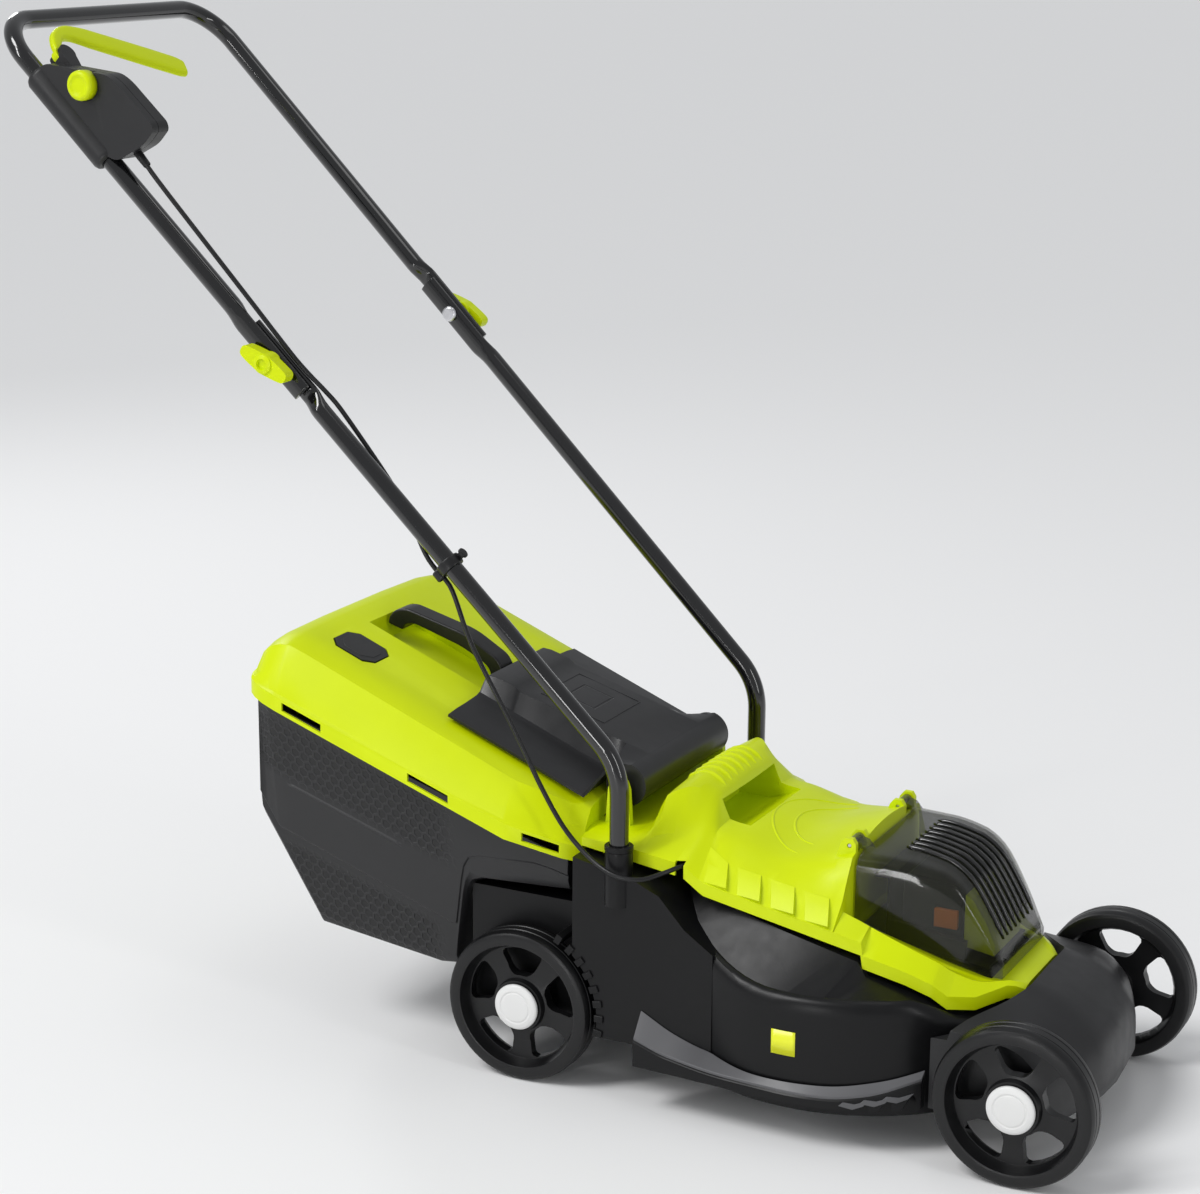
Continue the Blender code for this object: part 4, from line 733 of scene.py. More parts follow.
def make_upper_tube():
    corner, steps = 0.05, 16
    half = []

    def station(s, y, tangent, flat):
        half.append((handle_point(s, y), tangent.cross(NORMAL).normalized(), flat))

    for s, flat in ((0.4785, 1), (0.569, 1), (0.574, 0.9), (0.58, 0.5), (0.586, 0.12), (0.592, 0)):
        station(s, leg_half_width(s), ALONG, flat)
    top_s = HANDLE_LENGTH - corner
    top_y = leg_half_width(top_s) - corner
    for i in range(steps + 1):
        a = math.pi / 2 * i / steps
        tangent = ALONG * math.cos(a) + Vector((0, -1, 0)) * math.sin(a)
        station(top_s + corner * math.sin(a), top_y + corner * math.cos(a), tangent, 0)
    mirror = Matrix.Scale(-1, 4, Vector((0, 1, 0)))
    rings = []
    for centre, lateral, flat in half:
        outward = lateral if lateral.y > 0 or abs(lateral.y) < 1e-6 else -lateral
        outward = outward if flat == 0 else Vector((0, 1, 0))
        rings.append(tube_ring(centre, outward, NORMAL, flat, 1))
    other = [[mirror @ p for p in ring] for ring in reversed(rings)]
    handle = mesh_object("upper_tube", loft(rings + other))
    piece(handle, "handle", "tube_black", ["upper_handle"], width=0.0008, angle=50)


KNOB_HUB = mm([(10, 0), (10.8, 2), (10.8, 14), (9.5, 18.5), (6, 20)])


def make_knobs():
    for name, side in SIDES:
        out = Vector((0, side, 0))
        at = handle_point(FOLD_S, side * leg_half_width(FOLD_S))
        start = 0.0106
        hub = [(radius, start + height) for radius, height in KNOB_HUB]
        knob = mesh_object(f"knob_{name}", turned(at, out, hub, 36))
        lean = (ALONG * 0.96 - NORMAL * 0.28).normalized()
        across = lean.cross(out).normalized()
        outline = mm([(-28.5, -5.2), (-17, -7.8), (0, -10.2), (17, -7.8), (28.5, -5.2)])
        outline = rounded(outline + [(-a, -b) for a, b in outline], 0.005)
        loop = [at + out * (start + 0.0035) + lean * a + across * b for a, b in outline]
        carve(knob, "UNION", [prism(loop, out * 0.0135)])
        dish = turned(at + out * (start + 0.0172), out, [(0.0048, 0), (0.006, 0.004)], 28)
        carve(knob, "DIFFERENCE", [rod(at, at + out * (start + 0.0165), 0.0036), dish])
        piece(knob, f"knob_{name}", "lime", [f"wing_knob_{name}"], width=0.0022, segments=4)


# (s, n) of the control housing on the handle
BOX_OUTLINE = mm([
    (900, -15.7), (898, 18), (838, 65), (824, 68), (769.5, 69.2), (763, 65), (762, 46), (773, 12),
    (794, -15.7),
])
BUTTON = (0.849, 0.039)
LEVER_PIVOT = (0.8985, -0.163, 0.023)


def lever_rod(reach, radius, sides=24):
    """A rod on the lever's pivot line, the same reach to each side of the lever."""
    s, y, n = LEVER_PIVOT
    return rod(handle_point(s, y, n - reach), handle_point(s, y, n + reach), radius, sides)


# (s, radius) of the sleeve round the tube
SLEEVE = mm([(784, 11.8), (785.5, 14), (789, 15.4), (895, 15.6), (898.5, 14), (900.5, 11.8)])


def make_switch_box():
    """The control housing: a rounded case with the tube's sleeve standing proud along one edge."""
    outline = rounded([(s, n) for s, n in BOX_OUTLINE[1:-1]] + [(0.79, 0.004), (0.896, 0.004)], 0.007)
    loop = [handle_point(s, -0.164, n) for s, n in outline]
    case = mesh_object("switch_case", prism(loop, (0, -0.027, 0)))
    centre_y = -leg_half_width(0.84) - 0.0003
    sleeve = []
    for s, radius in SLEEVE:
        sleeve.append(ring_about(handle_point(s, centre_y), Vector((0, 1, 0)), NORMAL, radius, 36))
    pivot_s, _, pivot_n = LEVER_PIVOT
    web_plan = ((0.872, -0.175), (pivot_s, -0.175), (pivot_s, -0.154), (0.872, -0.163))
    web = prism([handle_point(s, y, pivot_n - 0.0095) for s, y in web_plan], NORMAL * 0.019)
    carve(case, "UNION", [loft(sleeve), web, lever_rod(0.0095, 0.0092, 32)])
    at = handle_point(BUTTON[0], -0.2, BUTTON[1])
    room = lever_rod(0.0046, 0.0122, 32)
    tube_ends = [handle_point(s, -leg_half_width(s)) for s in (0.75, 0.925)]
    tube = rod(*tube_ends, TUBE_RADIUS + 0.0004, 32)
    seam_plan = [handle_point(s, -0.1802, n) for s, n in BOX_OUTLINE]
    middle = sum(seam_plan, Vector()) / len(seam_plan)
    groove = []
    for scale, depth in ((1.08, 0), (1.08, 0.0007), (0.955, 0.0007), (0.955, 0)):
        groove.append([middle + (p - middle) * scale - Vector((0, depth, 0)) for p in seam_plan])
    seam = loft(groove, loop=True)
    carve(case, "DIFFERENCE", [room, tube, rod(at, at + Vector((0, 0.0175, 0)), 0.0156, 40), seam])
    piece(case, "handle", "charcoal", ["switch_box_outer", "switch_box_inner"], width=0.003, segments=4)


def make_button():
    base = handle_point(BUTTON[0], -0.1885, BUTTON[1])
    profile = mm([
        (14.8, 0), (15, 9), (14.6, 11.5), (13, 13.4), (11.2, 14.2), (9.8, 13.8), (8.8, 12.8), (5.5, 12.6),
        (1.8, 13.2),
    ])
    button = mesh_object("button_cap", turned(base, (0, -1, 0), profile, 48))
    piece(button, "button", "lime", ["lock_off_button"], width=0)


# (radius, height) over the first half of each ring
CLIP_BIG = mm([(9.8, 0), (12.4, 0.4), (13, 2)])
CLIP_SMALL = mm([(3.2, 0), (5.4, 0.4), (6, 1.6)])


def make_clip():
    """The two-ringed clip: the large ring grips the tube and the small one holds the cable under it."""
    s0, long = 0.25, 0.011
    y = -leg_half_width(0.255)
    big, small = [half + [(r, long - h) for r, h in reversed(half)] for half in (CLIP_BIG, CLIP_SMALL)]
    clip = mesh_object("cable_ring", turned(handle_point(s0, y), ALONG, big, 40, ring=True))
    stud = mm([(3.4, 0), (3.4, 4), (5.2, 4.4), (5.2, 6.6), (4, 7.4)])
    top = turned(handle_point(s0 + long / 2, y + 0.004, 0.0118), NORMAL, stud, 24)
    neck = rod(handle_point(s0 + long / 2, y, -0.0102), handle_point(s0 + long / 2, y, -0.0126), 0.005)
    carve(clip, "UNION", [turned(handle_point(s0, y, -0.0158), ALONG, small, 28, ring=True), neck, top])
    piece(clip, "chassis", "black", ["cable_clip"], width=0.0005, segments=2)


def make_spring():
    """The button's return spring."""
    coil = []
    for i in range(3 * 24 + 1):
        turn = 2 * math.pi * i / 24
        centre = handle_point(BUTTON[0], -0.176 - 0.0115 * i / 72, BUTTON[1])
        coil.append(centre + (ALONG * math.cos(turn) + NORMAL * math.sin(turn)) * 0.0045)
    spring = mesh_object("press_spring", swept(coil, 0.0006, 8, Vector((0, 1, 0))))
    blended(spring, "steel", "button_spring")


LEVER_THICK = 0.0042
# half width at each part of the lever's length
LEVER_HALF = [(0.0, 0.0062), (0.1, 0.006), (0.2, 0.0072), (0.3, 0.0105), (0.42, 0.013), (0.8, 0.0138)]
LEVER_HALF += [(0.97, 0.0134), (1.0, 0.011)]


def make_lever():
    """The run lever: boss and bent neck in the case, then a broad rounded grip."""
    knots = mm([
        (898.5, -163), (912, -160), (924, -149), (928.5, -133), (925.5, -116), (909, -76), (891, -34),
        (875, 3), (870, 14),
    ])
    line = smooth_route([Vector((s, y, 0)) for s, y in knots], 0.0045)
    rings = []
    for i, point in enumerate(line):
        ahead = (line[min(i + 1, len(line) - 1)] - line[max(i - 1, 0)]).normalized()
        across = Vector((-ahead.y, ahead.x, 0))
        wide = between(i / (len(line) - 1), LEVER_HALF)
        ring = []
        for k in range(24):
            turn = 2 * math.pi * k / 24
            c, s = math.cos(turn), math.sin(turn)
            a = math.copysign(abs(c) ** 0.6, c) * wide
            b = math.copysign(abs(s) ** 0.8, s) * LEVER_THICK
            flat = point + across * a
            ring.append(handle_point(flat.x, flat.y, LEVER_PIVOT[2] + b))
        rings.append(ring)
    lever = mesh_object("lever_grip", loft(rings))
    carve(lever, "UNION", [lever_rod(0.004, 0.0108, 36)])
    carve(lever, "DIFFERENCE", [lever_rod(0.015, 0.0025)])
    piece(lever, "lever", "lime", ["bail_lever"], width=0.001, segments=2, angle=45)


# (s, y, n) of the cable along the handle, then (x, y, z) down to the motor cover
UPPER_ROUTE = mm([
    (780, -178, 29), (765, -178, 29), (732.9, -180, 27.4), (655.9, -180, 24.5), (580.9, -178, 20.7),
    (540, -177, 18.5), (506.8, -176, 17), (485, -171, 15), (465, -163, 12.2), (440, -157.5, 9),
    (360, -156.5, 0), (320, -158, -7.5), (299.2, -162, -12.5), (278, -167.5, -15.5), (260, -169.4, -15.8),
    (238, -169.4, -16),
])
LOWER_ROUTE = mm([
    (-60, -170, 452), (-46, -170, 425), (-7, -170, 360), (22, -171, 309), (49, -174, 272), (80, -181, 249),
    (109.5, -186.5, 237.5), (134, -180, 235), (152, -166, 240), (160.8, -150, 242.5), (166, -133, 241),
    (176, -105, 233.5), (190, -75, 226.5), (199, -58, 218), (200, -48.5, 213),
])


def make_cable():
    """The switch cable, along the CAD route."""
    knots = [handle_point(*p) for p in UPPER_ROUTE] + [Vector(p) for p in LOWER_ROUTE]
    cable = mesh_object("cable", swept(smooth_route(knots, 0.006), 0.0024, 14, Vector((0.3, 1, 0.2))))
    blended(cable, "cable", "switch_cable")


# ---------------------------------------------------------------- grass box


def smooth(x, table):
    """Reads a value from (x, value) pairs by a smooth curve that never leaves their range."""
    if x <= table[0][0]:
        return table[0][1]
    if x >= table[-1][0]:
        return table[-1][1]
    rates = [(b[1] - a[1]) / (b[0] - a[0]) for a, b in zip(table, table[1:])]
    slopes = [rates[0]]
    for before, after in zip(rates, rates[1:]):
        slopes.append(0.0 if before * after <= 0 else 2 * before * after / (before + after))
    slopes.append(rates[-1])
    i = max(k for k in range(len(table) - 1) if table[k][0] <= x)
    (x0, a), (x1, b) = table[i], table[i + 1]
    wide = x1 - x0
    t = (x - x0) / wide
    return (
        (2 * t ** 3 - 3 * t ** 2 + 1) * a
        + (t ** 3 - 2 * t ** 2 + t) * wide * slopes[i]
        + (3 * t ** 2 - 2 * t ** 3) * b
        + (t ** 3 - t ** 2) * wide * slopes[i + 1]
    )


def stations(start, end, count, extra=()):
    even = [start + (end - start) * i / count for i in range(count + 1)]
    return sorted([x for x in even if all(abs(x - e) > 0.0012 for e in extra)] + list(extra))


def section(x, right, middle=()):
    """An open section across the mower at x, drawn from its right half of (y, z) points."""
    return [(x, y, z) for y, z in right + list(middle) + [(-y, z) for y, z in reversed(right)]]


def rim_low(x):
    return 0.302 - 0.3535 * (x + 0.15)


def lid_crown(x):
    """Top of the grass box lid, which rolls over at its rear edge."""
    roll = max(0.0, -0.262 - x)
    return 0.31 - 0.4 * x - 14.0 * roll ** 2


# half width of the lid's rim at x, and the extra places where the lid is drawn
RIM_HALF = mm([
    (-312, 168), (-308.5, 174.5), (-301, 180), (-290, 183.6), (-275, 185), (-12, 185), (40, 162), (56, 150),
])
LID_EXTRA = mm([-311, -308.5, -305, -301, -295.5, -290, -283, -275, -12, 40])


RIM_SLOTS = mm([(-266, -220), (-120, -74), (4, 38)])
SLOT_BAND = (0.004, 0.0128)


def lid_section(x):
    half = between(x, RIM_HALF)
    low, top, scale = rim_low(x), lid_crown(x), half / 0.185
    brow = max(top - 0.0295 * scale, low + 0.0205)
    right = [(-half, low), (-half, low + 0.016), (-(half - 0.0026), low + 0.0186), (-(half - 0.0095), brow)]
    right += [(-0.16 * scale, max(top - 0.0085, brow + 0.001)), (-0.145 * scale, top - 0.004)]
    right += [(-0.125 * scale, top - 0.0015), (-0.06 * scale, top)]
    return section(x, right)


def indicator_outline(grow):
    half_x, half_y, cut = 0.026 + grow, 0.023 + grow, 0.01
    outline = [(-half_x, -half_y + cut), (-half_x + cut, -half_y)]
    outline += [(half_x - cut, -half_y), (half_x, -half_y + cut)]
    return outline + [(-x, -y) for x, y in outline]


def indicator_prism(grow, low, high):
    """The fill indicator's long octagon, square to the sloping lid."""
    slope = Vector((1, 0, -0.4)).normalized()
    normal = Vector((0.4, 0, 1)).normalized()
    centre = Vector((-0.223, -0.1, lid_crown(-0.223) - 0.0002))
    start = centre + normal * low
    outline = [start + slope * x + Vector((0, y, 0)) for x, y in indicator_outline(grow)]
    return prism(outline, normal * (high - low))


def mouth(low):
    """The opening in the front of the grass box, from the given height up."""
    return side_prism([(0.03, low), (0.03, 0.264), (0.07, 0.264), (0.07, low)], -0.1, 0.1)


def make_lid():
    lid = shell("lid_cover", [lid_section(x) for x in stations(-0.312, 0.056, 26, LID_EXTRA)], 0.0026)
    lining = [(-0.2495, lid_crown(-0.2495) - 0.0006), (-0.2476, 0.3814), (-0.201, 0.3634), (-0.119, 0.3302)]
    lining += [(-0.1025, 0.3385), (-0.0955, lid_crown(-0.0955) - 0.0006)]
    recess = mm([(-250, 440), (-245, 384), (-200, 366), (-120, 333), (-104, 341), (-98, 420)])
    carve(lid, "UNION", [side_prism(lining, -0.047, 0.047)])
    cuts = [side_prism(recess, -0.0444, 0.0444), mouth(0.18), indicator_prism(0.0008, -0.02, 0.02)]
    for _, side in SIDES:
        for ends in RIM_SLOTS:
            places = [(x, up) for x, ups in zip(ends, (SLOT_BAND, SLOT_BAND[::-1])) for up in ups]
            cuts.append(side_block([(x, rim_low(x) + up) for x, up in places], side, 0.15, 0.195))
    carve(lid, "DIFFERENCE", cuts)
    piece(lid, "collector", "lime", ["box_lid"], width=0.0013)


def make_indicator():
    pad = mesh_object("indicator_plate", indicator_prism(-0.0002, -0.0022, 0.0002))
    carve(pad, "UNION", [indicator_prism(-0.006, -0.0001, 0.0007)])
    piece(pad, "indicator", "charcoal", ["fill_indicator"], width=0.0004, segments=2)


def make_lid_grip():
    outer = mm([
        (-244, 384.5), (-244, 406), (-236, 416), (-222, 419.5), (-150, 400.5), (-113, 379), (-106.5, 369),
        (-106.5, 340),
    ])
    inner = mm([(-120, 333.8), (-121.5, 368), (-155, 386), (-213, 404), (-226, 401), (-227.5, 378)])
    outline = rounded(outer, 0.012)[5:-5] + rounded(inner, 0.01)[5:-5]
    grip = mesh_object("lid_grip", side_prism(outline, -0.0125, 0.0125))
    piece(grip, "collector", "black", ["lid_handle"], width=0.0042, segments=4, angle=40)


# at x: the tub's lowest z and its greatest half width; at z: the half width of its flared sides
TUB_BOTTOM = mm([
    (-308, 220), (-250, 105), (-110, 86), (-89.5, 88.5), (-86, 110), (-76.5, 160), (-72.5, 176), (-66, 186.5),
    (-55, 190.5), (44, 196),
])
TUB_LIMIT = mm([(-308, 164), (-300, 172.2), (-288, 177.6), (-270, 180.5), (-12, 180.5), (44, 154)])


TUB_FLARE = mm([(85, 139), (220, 158), (350, 179)])
TUB_EXTRA = mm([-304, -300, -294, -288, -250, -110, -89.5, -86, -76.5, -72.5, -66, -55, -12])


def make_tub():
    rings = []
    for x in stations(-0.308, 0.044, 20, TUB_EXTRA):
        limit = between(x, TUB_LIMIT)

        def half(z):
            return min(between(z, TUB_FLARE), limit)

        top, low = rim_low(x) + 0.0015, between(x, TUB_BOTTOM)
        crease = min(max(0.105 - 0.373 * x, low + 0.03), top - 0.02)
        right = [(-half(top), top), (-half(crease) - 0.0012, crease + 0.0008)]
        right += [(-half(crease) + 0.0008, crease - 0.0012), (-half(low + 0.014), low + 0.014)]
        right += [(-half(low + 0.004) + 0.004, low + 0.004), (-half(low) + 0.014, low)]
        rings.append(section(x, right))
    tub = shell("tub", rings, 0.003)
    carve(tub, "DIFFERENCE", [mouth(0.2)])
    piece(tub, "collector", "charcoal", ["grass_box"], width=0.0012, finish=TUB_FINISH)


# ---------------------------------------------------------------- rear flap


FLAP_AXIS = (0.078, 0.298)
FLAP_ROLL = 0.0225
# (x, z) of the flap's raised middle
FLAP_MIDDLE = mm([
    (-100, 373.5), (-97, 375.5), (-85, 374.2), (-66, 367.8), (-60, 362.8), (-20, 351.8), (50, 330.5),
])


def make_flap():
    ax, az = FLAP_AXIS
    rings = []
    for x in stations(-0.1, 0.05, 12, (-0.097, -0.066, -0.06)):
        side_z = 0.352 - 0.4 * (x + 0.1)
        right = [(-0.137, side_z + 0.003), (-0.12, side_z + 0.0048), (-0.1045, side_z + 0.0055)]
        right += [(-0.08, side_z + 0.0075), (-0.073, side_z + 0.0095)]
        middle = between(x, FLAP_MIDDLE)
        rings.append(section(x, right + [(-0.06, middle), (-0.056, middle + 0.0002)]))
    shoulder = mm([(-99, 315), (-92, 316.5), (-84, 319), (-74, 322), (-68, 324), (-60, 327), (-56, 327.3)])
    rings.append(section(0.06, shoulder))
    for i in range(15):
        x, z = polar(FLAP_ROLL, 74 - 10 * i)
        rings.append(section(ax + x, [(y, az + z) for y, _ in shoulder]))
    flap = shell("flap_plate", rings, 0.0028, first_wall=False, last_wall=False)
    discs = ((-0.0985, -0.093), (0.093, 0.0985))
    shapes = [cross_rod(FLAP_AXIS, *ends, 0.0212, 40) for ends in discs]

    def bar(x0, x1, y0, y1):
        corners = ((x0, y0), (x1, y0), (x1, y1), (x0, y1))
        return loft([[(x, y, between(x, FLAP_MIDDLE) + up) for x, y in corners] for up in (-0.001, 0.0007)])

    shapes += [bar(-0.046, -0.0445, -0.042, 0.042), bar(0.0245, 0.026, -0.042, 0.042)]
    shapes += [bar(-0.0455, 0.0255, -0.042, -0.0405), bar(-0.0455, 0.0255, 0.0405, 0.042)]
    carve(flap, "UNION", shapes)
    carve(flap, "DIFFERENCE", [cross_rod(FLAP_AXIS, -0.12, 0.12, 0.0034)])
    piece(flap, "rear_flap", "charcoal", ["grass_flap"], width=0.0016, segments=3, finish=FLAP_FINISH)


# ---------------------------------------------------------------- motor cover and battery bay


LID_AXIS = (0.309, 0.268)
# at x: the cover's rim z and half width
COVER_RIM = mm([
    (56, 247), (165, 232), (185, 217), (344, 181), (346, 168), (386, 156), (410, 146), (424, 134), (446, 131),
    (468, 136), (480, 131),
])
COVER_HALF = mm([
    (56, 149), (165, 149), (245, 143), (316.5, 137), (346, 134.5), (386, 126), (410, 120), (424, 113),
    (446, 95), (468, 62), (480, 50),
])
# x, shoulder y and z, plateau y and z, centre z
COVER_REAR = mm([
    (56, 144, 257.5, 120, 262, 262), (103, 144, 256, 120, 262, 262), (114, 140, 256, 108, 268, 269),
    (126, 126, 262, 103, 296, 301), (143, 118, 264, 88, 303, 307.5), (166, 112, 262, 70, 290, 294),
    (176, 112, 256, 88, 266, 270), (200, 124, 246, 90, 261, 267), (245, 122, 237, 88, 250, 257),
    (285, 119, 229, 89, 252, 266), (316, 114, 223, 91, 260, 274),
])
COVER_FRONT = mm([
    (317.2, 114, 213, 95, 195, 195), (344, 113, 203, 94, 186, 186), (386, 106, 184, 90, 172, 172),
    (410, 100, 173, 84, 163.5, 163.5), (424, 94, 164, 79, 159, 159), (446, 80, 154, 70, 152, 152),
    (468, 55, 151, 46, 149, 149), (480, 44, 144, 36, 145, 145),
])


def cover_values(x):
    """Half width, rim, band top, shoulder (y, z), plateau (y, z) and centre height at x."""
    table = COVER_REAR if x < 0.3166 else COVER_FRONT
    ys, zs, yp, zp, centre = [smooth(x, column(table, k)) for k in range(1, 6)]
    half, rim = between(x, COVER_HALF), between(x, COVER_RIM)
    return half, rim, min(rim + 0.013, zs - 0.002), (ys, zs), (yp, zp), centre


def cover_section(x):
    half, rim, band, (ys, zs), (yp, zp), centre = cover_values(x)
    rise = 0.0012 if x < 0.3166 else 0.0
    right = [(-half, rim), (-half, band), (-ys, zs)]
    for a, b in ((0.66, 0.34), (0.33, 0.67)):
        right.append((-(ys * a + yp * b), zs * a + zp * b + rise))
    right.append((-yp, zp))
    for part in (0.8, 0.58, 0.36, 0.16):
        right.append((-yp * part, centre + (zp - centre) * part ** 2))
    return section(x, right, [(0, centre)])


def side_point(x, t, side, out):
    """A point of the cover's side wall, from the band (t 0) to the shoulder (t 1)."""
    half, _, band, (ys, zs), _, _ = cover_values(x)
    away = Vector((0, zs - band, half - ys)).normalized()
    return Vector((x, side * (half + (ys - half) * t + away.y * out), band + (zs - band) * t + away.z * out))


def louvre(x0, side):
    """One side vent: a wedge that leans back and stands out at its front edge."""
    rings = []
    for t, lean, out in ((0.04, 0.0, 0.0058), (0.55, -0.004, 0.0046), (0.97, -0.008, 0.0012)):
        a, b = x0 + lean, x0 + 0.024 + lean
        places = ((a, -0.002), (a, 0.0002), (b, out), (b, -0.002))
        rings.append([side_point(x, t, side, away) for x, away in places])
    return loft(rings)


def make_hub_steps(top_of):
    """Two curved steps on the cover, round the motor's axis."""
    for radius, name in ((0.088, "outer"), (0.066, "inner")):
        path = []
        for i in range(41):
            x, y = polar(radius, 112 + 136 * i / 40)
            path.append((HUB_X + x, y, top_of(HUB_X + x, y) - SHIFT.z - 0.0009))
        step = mesh_object(f"hub_step_{name}", swept(path, 0.0017, 10, Vector((0, 0, 1)), tapered=True))
        piece(step, "chassis", "lime", width=0)


RIB_MARKS = mm([118, 121.5, 126, 132, 140, 148, 156, 162])


def make_motor_cover():
    marks = stations(0.056, 0.316, 52, (0.103, 0.114, 0.126, 0.143, 0.166, 0.176))
    marks += stations(0.3172, 0.48, 24, (0.344, 0.346, 0.386, 0.41, 0.424))
    cover = shell("motor_hood", [cover_section(x) for x in marks], 0.0028)
    top_of = surface_of(cover)
    grip_space = mm([
        (130, 250), (125, 262), (130, 274), (149, 287), (180, 287), (204, 269.5), (197, 263), (180, 254.5),
        (165, 250),
    ])
    lining = mm([
        (127, 247), (122, 262), (127, 277), (148, 290), (166.5, 287), (173.5, 265.5), (206, 261.2),
        (206, 256), (176, 247),
    ])
    carve(cover, "UNION", [side_prism(lining, -0.068, 0.068)])
    bay = mm([(323.5, -85, 120), (450, -61, 120), (450, 61, 120), (323.5, 85, 120)])
    carve(cover, "DIFFERENCE", [side_prism(grip_space, -0.064, 0.064), prism(bay, (0, 0, 0.1))])
    adds, cuts = [], []
    ear = mm([(64, 256), (67, 298), (70, 306), (78, 310), (86, 306), (89, 298), (92, 256)])
    lug = mm([(296, 256), (300.5, 270), (304.5, 275), (312.5, 275), (315.8, 270), (315.8, 256)])
    for _, side in SIDES:
        adds.append(side_block(ear, side, 0.1078, 0.1148))
        for middle in (0.0505, 0.0795):
            adds.append(side_block(lug, side, middle - 0.003, middle + 0.003))
        adds += [louvre(0.186 + 0.034 * i, side) for i in range(4)]
        cuts.append(upright_rod(BEND.x, side * LEG_BOTTOM_Y, 0.2, 0.3, 0.016, 40))
        low, high = sorted((side * 0.0537, side * 0.0763))
        cuts.append(block((0.2985, low, 0.26), (0.33, high, 0.3)))
        cuts.append(cross_rod(LID_AXIS, side * 0.045, side * 0.085, 0.0023, 16))
    for i in range(7):
        y = -0.045 + 0.015 * i
        adds.append(swept([(x, y, top_of(x, y) - 0.0014) for x in RIB_MARKS], 0.0036, 12, tapered=True))
    for shape in adds:
        carve(cover, "UNION", [shape])
    cuts.append(block((0.1565, -0.16, 0.22), (0.1655, -0.14, 0.2475)))
    cuts.append(cross_rod(FLAP_AXIS, -0.13, 0.13, 0.0033))
    carve(cover, "DIFFERENCE", cuts)
    piece(cover, "chassis", "lime", ["motor_cover"], width=0.0012)
    make_hub_steps(top_of)


# x, half width, top z, lower edge z
BATTERY_COVER = mm([
    (319, 89, 261, 199), (360, 85, 260.5, 184), (395, 81.5, 254.5, 173), (415, 78, 243, 166),
    (444, 69, 202, 156.5), (461, 63, 167, 153),
])


def bay_value(x, k):
    return smooth(x, column(BATTERY_COVER, k))


def make_battery_cover():
    """The smoked lid, its dark ribs running forward over the top and down the front."""
    rings = []
    for x in stations(0.319, 0.461, 22):
        half, top, low = [bay_value(x, k) for k in (1, 2, 3)]
        drop = (top - low) / 0.062
        right = [(-half, low), (-half + 0.0008, top - 0.018 * drop), (-half + 0.0022, top - 0.01 * drop)]
        right += [(-half + 0.005, top - 0.0045 * drop), (-half + 0.0095, top - 0.0013), (-half + 0.015, top)]
        rings.append(section(x, right))
    cover = shell("bay_lid", rings, 0.0024, first_wall=False)
    arm = mm([(308, 264), (308, 272.5), (320, 268.5), (327, 260), (327, 258.8), (319.5, 258.8)])
    arm.append((0.3195, 0.264))
    shapes = []
    for _, side in SIDES:
        y = side * 0.065
        shapes.append(side_prism(arm, y - 0.009, y + 0.009))
        shapes.append(cross_rod(LID_AXIS, y - 0.0095, y + 0.0095, 0.0055))
    carve(cover, "UNION", shapes)
    carve(cover, "DIFFERENCE", [cross_rod(LID_AXIS, -0.09, 0.09, 0.0024)])
    piece(cover, "bay_cover", "smoke", ["battery_cover"], width=0.0009)
    bars = []
    for i in range(8):
        y = -0.04 + 0.0125 * i
        marks = [x for x in stations(0.352, 0.453, 20) if abs(y) < bay_value(x, 1) - 0.018]
        bars.append(swept([(x, y, bay_value(x, 2) + 0.0004) for x in marks], 0.0026, 10, tapered=True))
    ribs = mesh_object("bay_ribs", joined(bars))
    piece(ribs, "bay_cover", "black", width=0, finish=RIB_FINISH)


# ---------------------------------------------------------------- deck


DECK_RADIUS, SKIRT_Z, PAN_Z = 0.19, 0.036, 0.146
# distance out from the radius, then z as a distance from the ridge or as a fixed height
DECK_WALLS = [(-0.004, None, 0.036), (-0.002, None, 0.062), (-0.001, None, 0.072), (0.0, -0.017, 0)]
DECK_WALLS += [(-0.0005, -0.011, 0), (-0.0018, -0.006, 0), (-0.0042, -0.0022, 0), (-0.008, 0.0, 0)]
DECK_WALLS += [(-0.0105, 0.0004, 0)]
# height of the housing's outer edge at x
RIDGE = mm([(280, 150), (395, 150), (412, 143), (440, 124), (480, 122)])


def ridge_height(x):
    return min(smooth(x, RIDGE) + 3.56 * max(0.0, 0.28 - x) ** 2, 0.244)


def plinth_point(turn, scale, height, inset):
    """A point of the raised oval under the motor cover; height gives its z from its x."""
    c, s = math.cos(turn), math.sin(turn)
    reach = (abs(c / 0.16) ** 4 + abs(s / 0.138) ** 4) ** -0.25 * scale
    from_hub = Vector((0.315 - HUB_X + reach * c, reach * s))
    if from_hub.length > 0.177 * scale:
        from_hub *= 0.177 * scale / from_hub.length
    x = HUB_X + from_hub.x
    return Vector((x, from_hub.y, height(x) - inset))


def plinth_height(x):
    return min(between(x, COVER_RIM) - 0.006, 0.236)


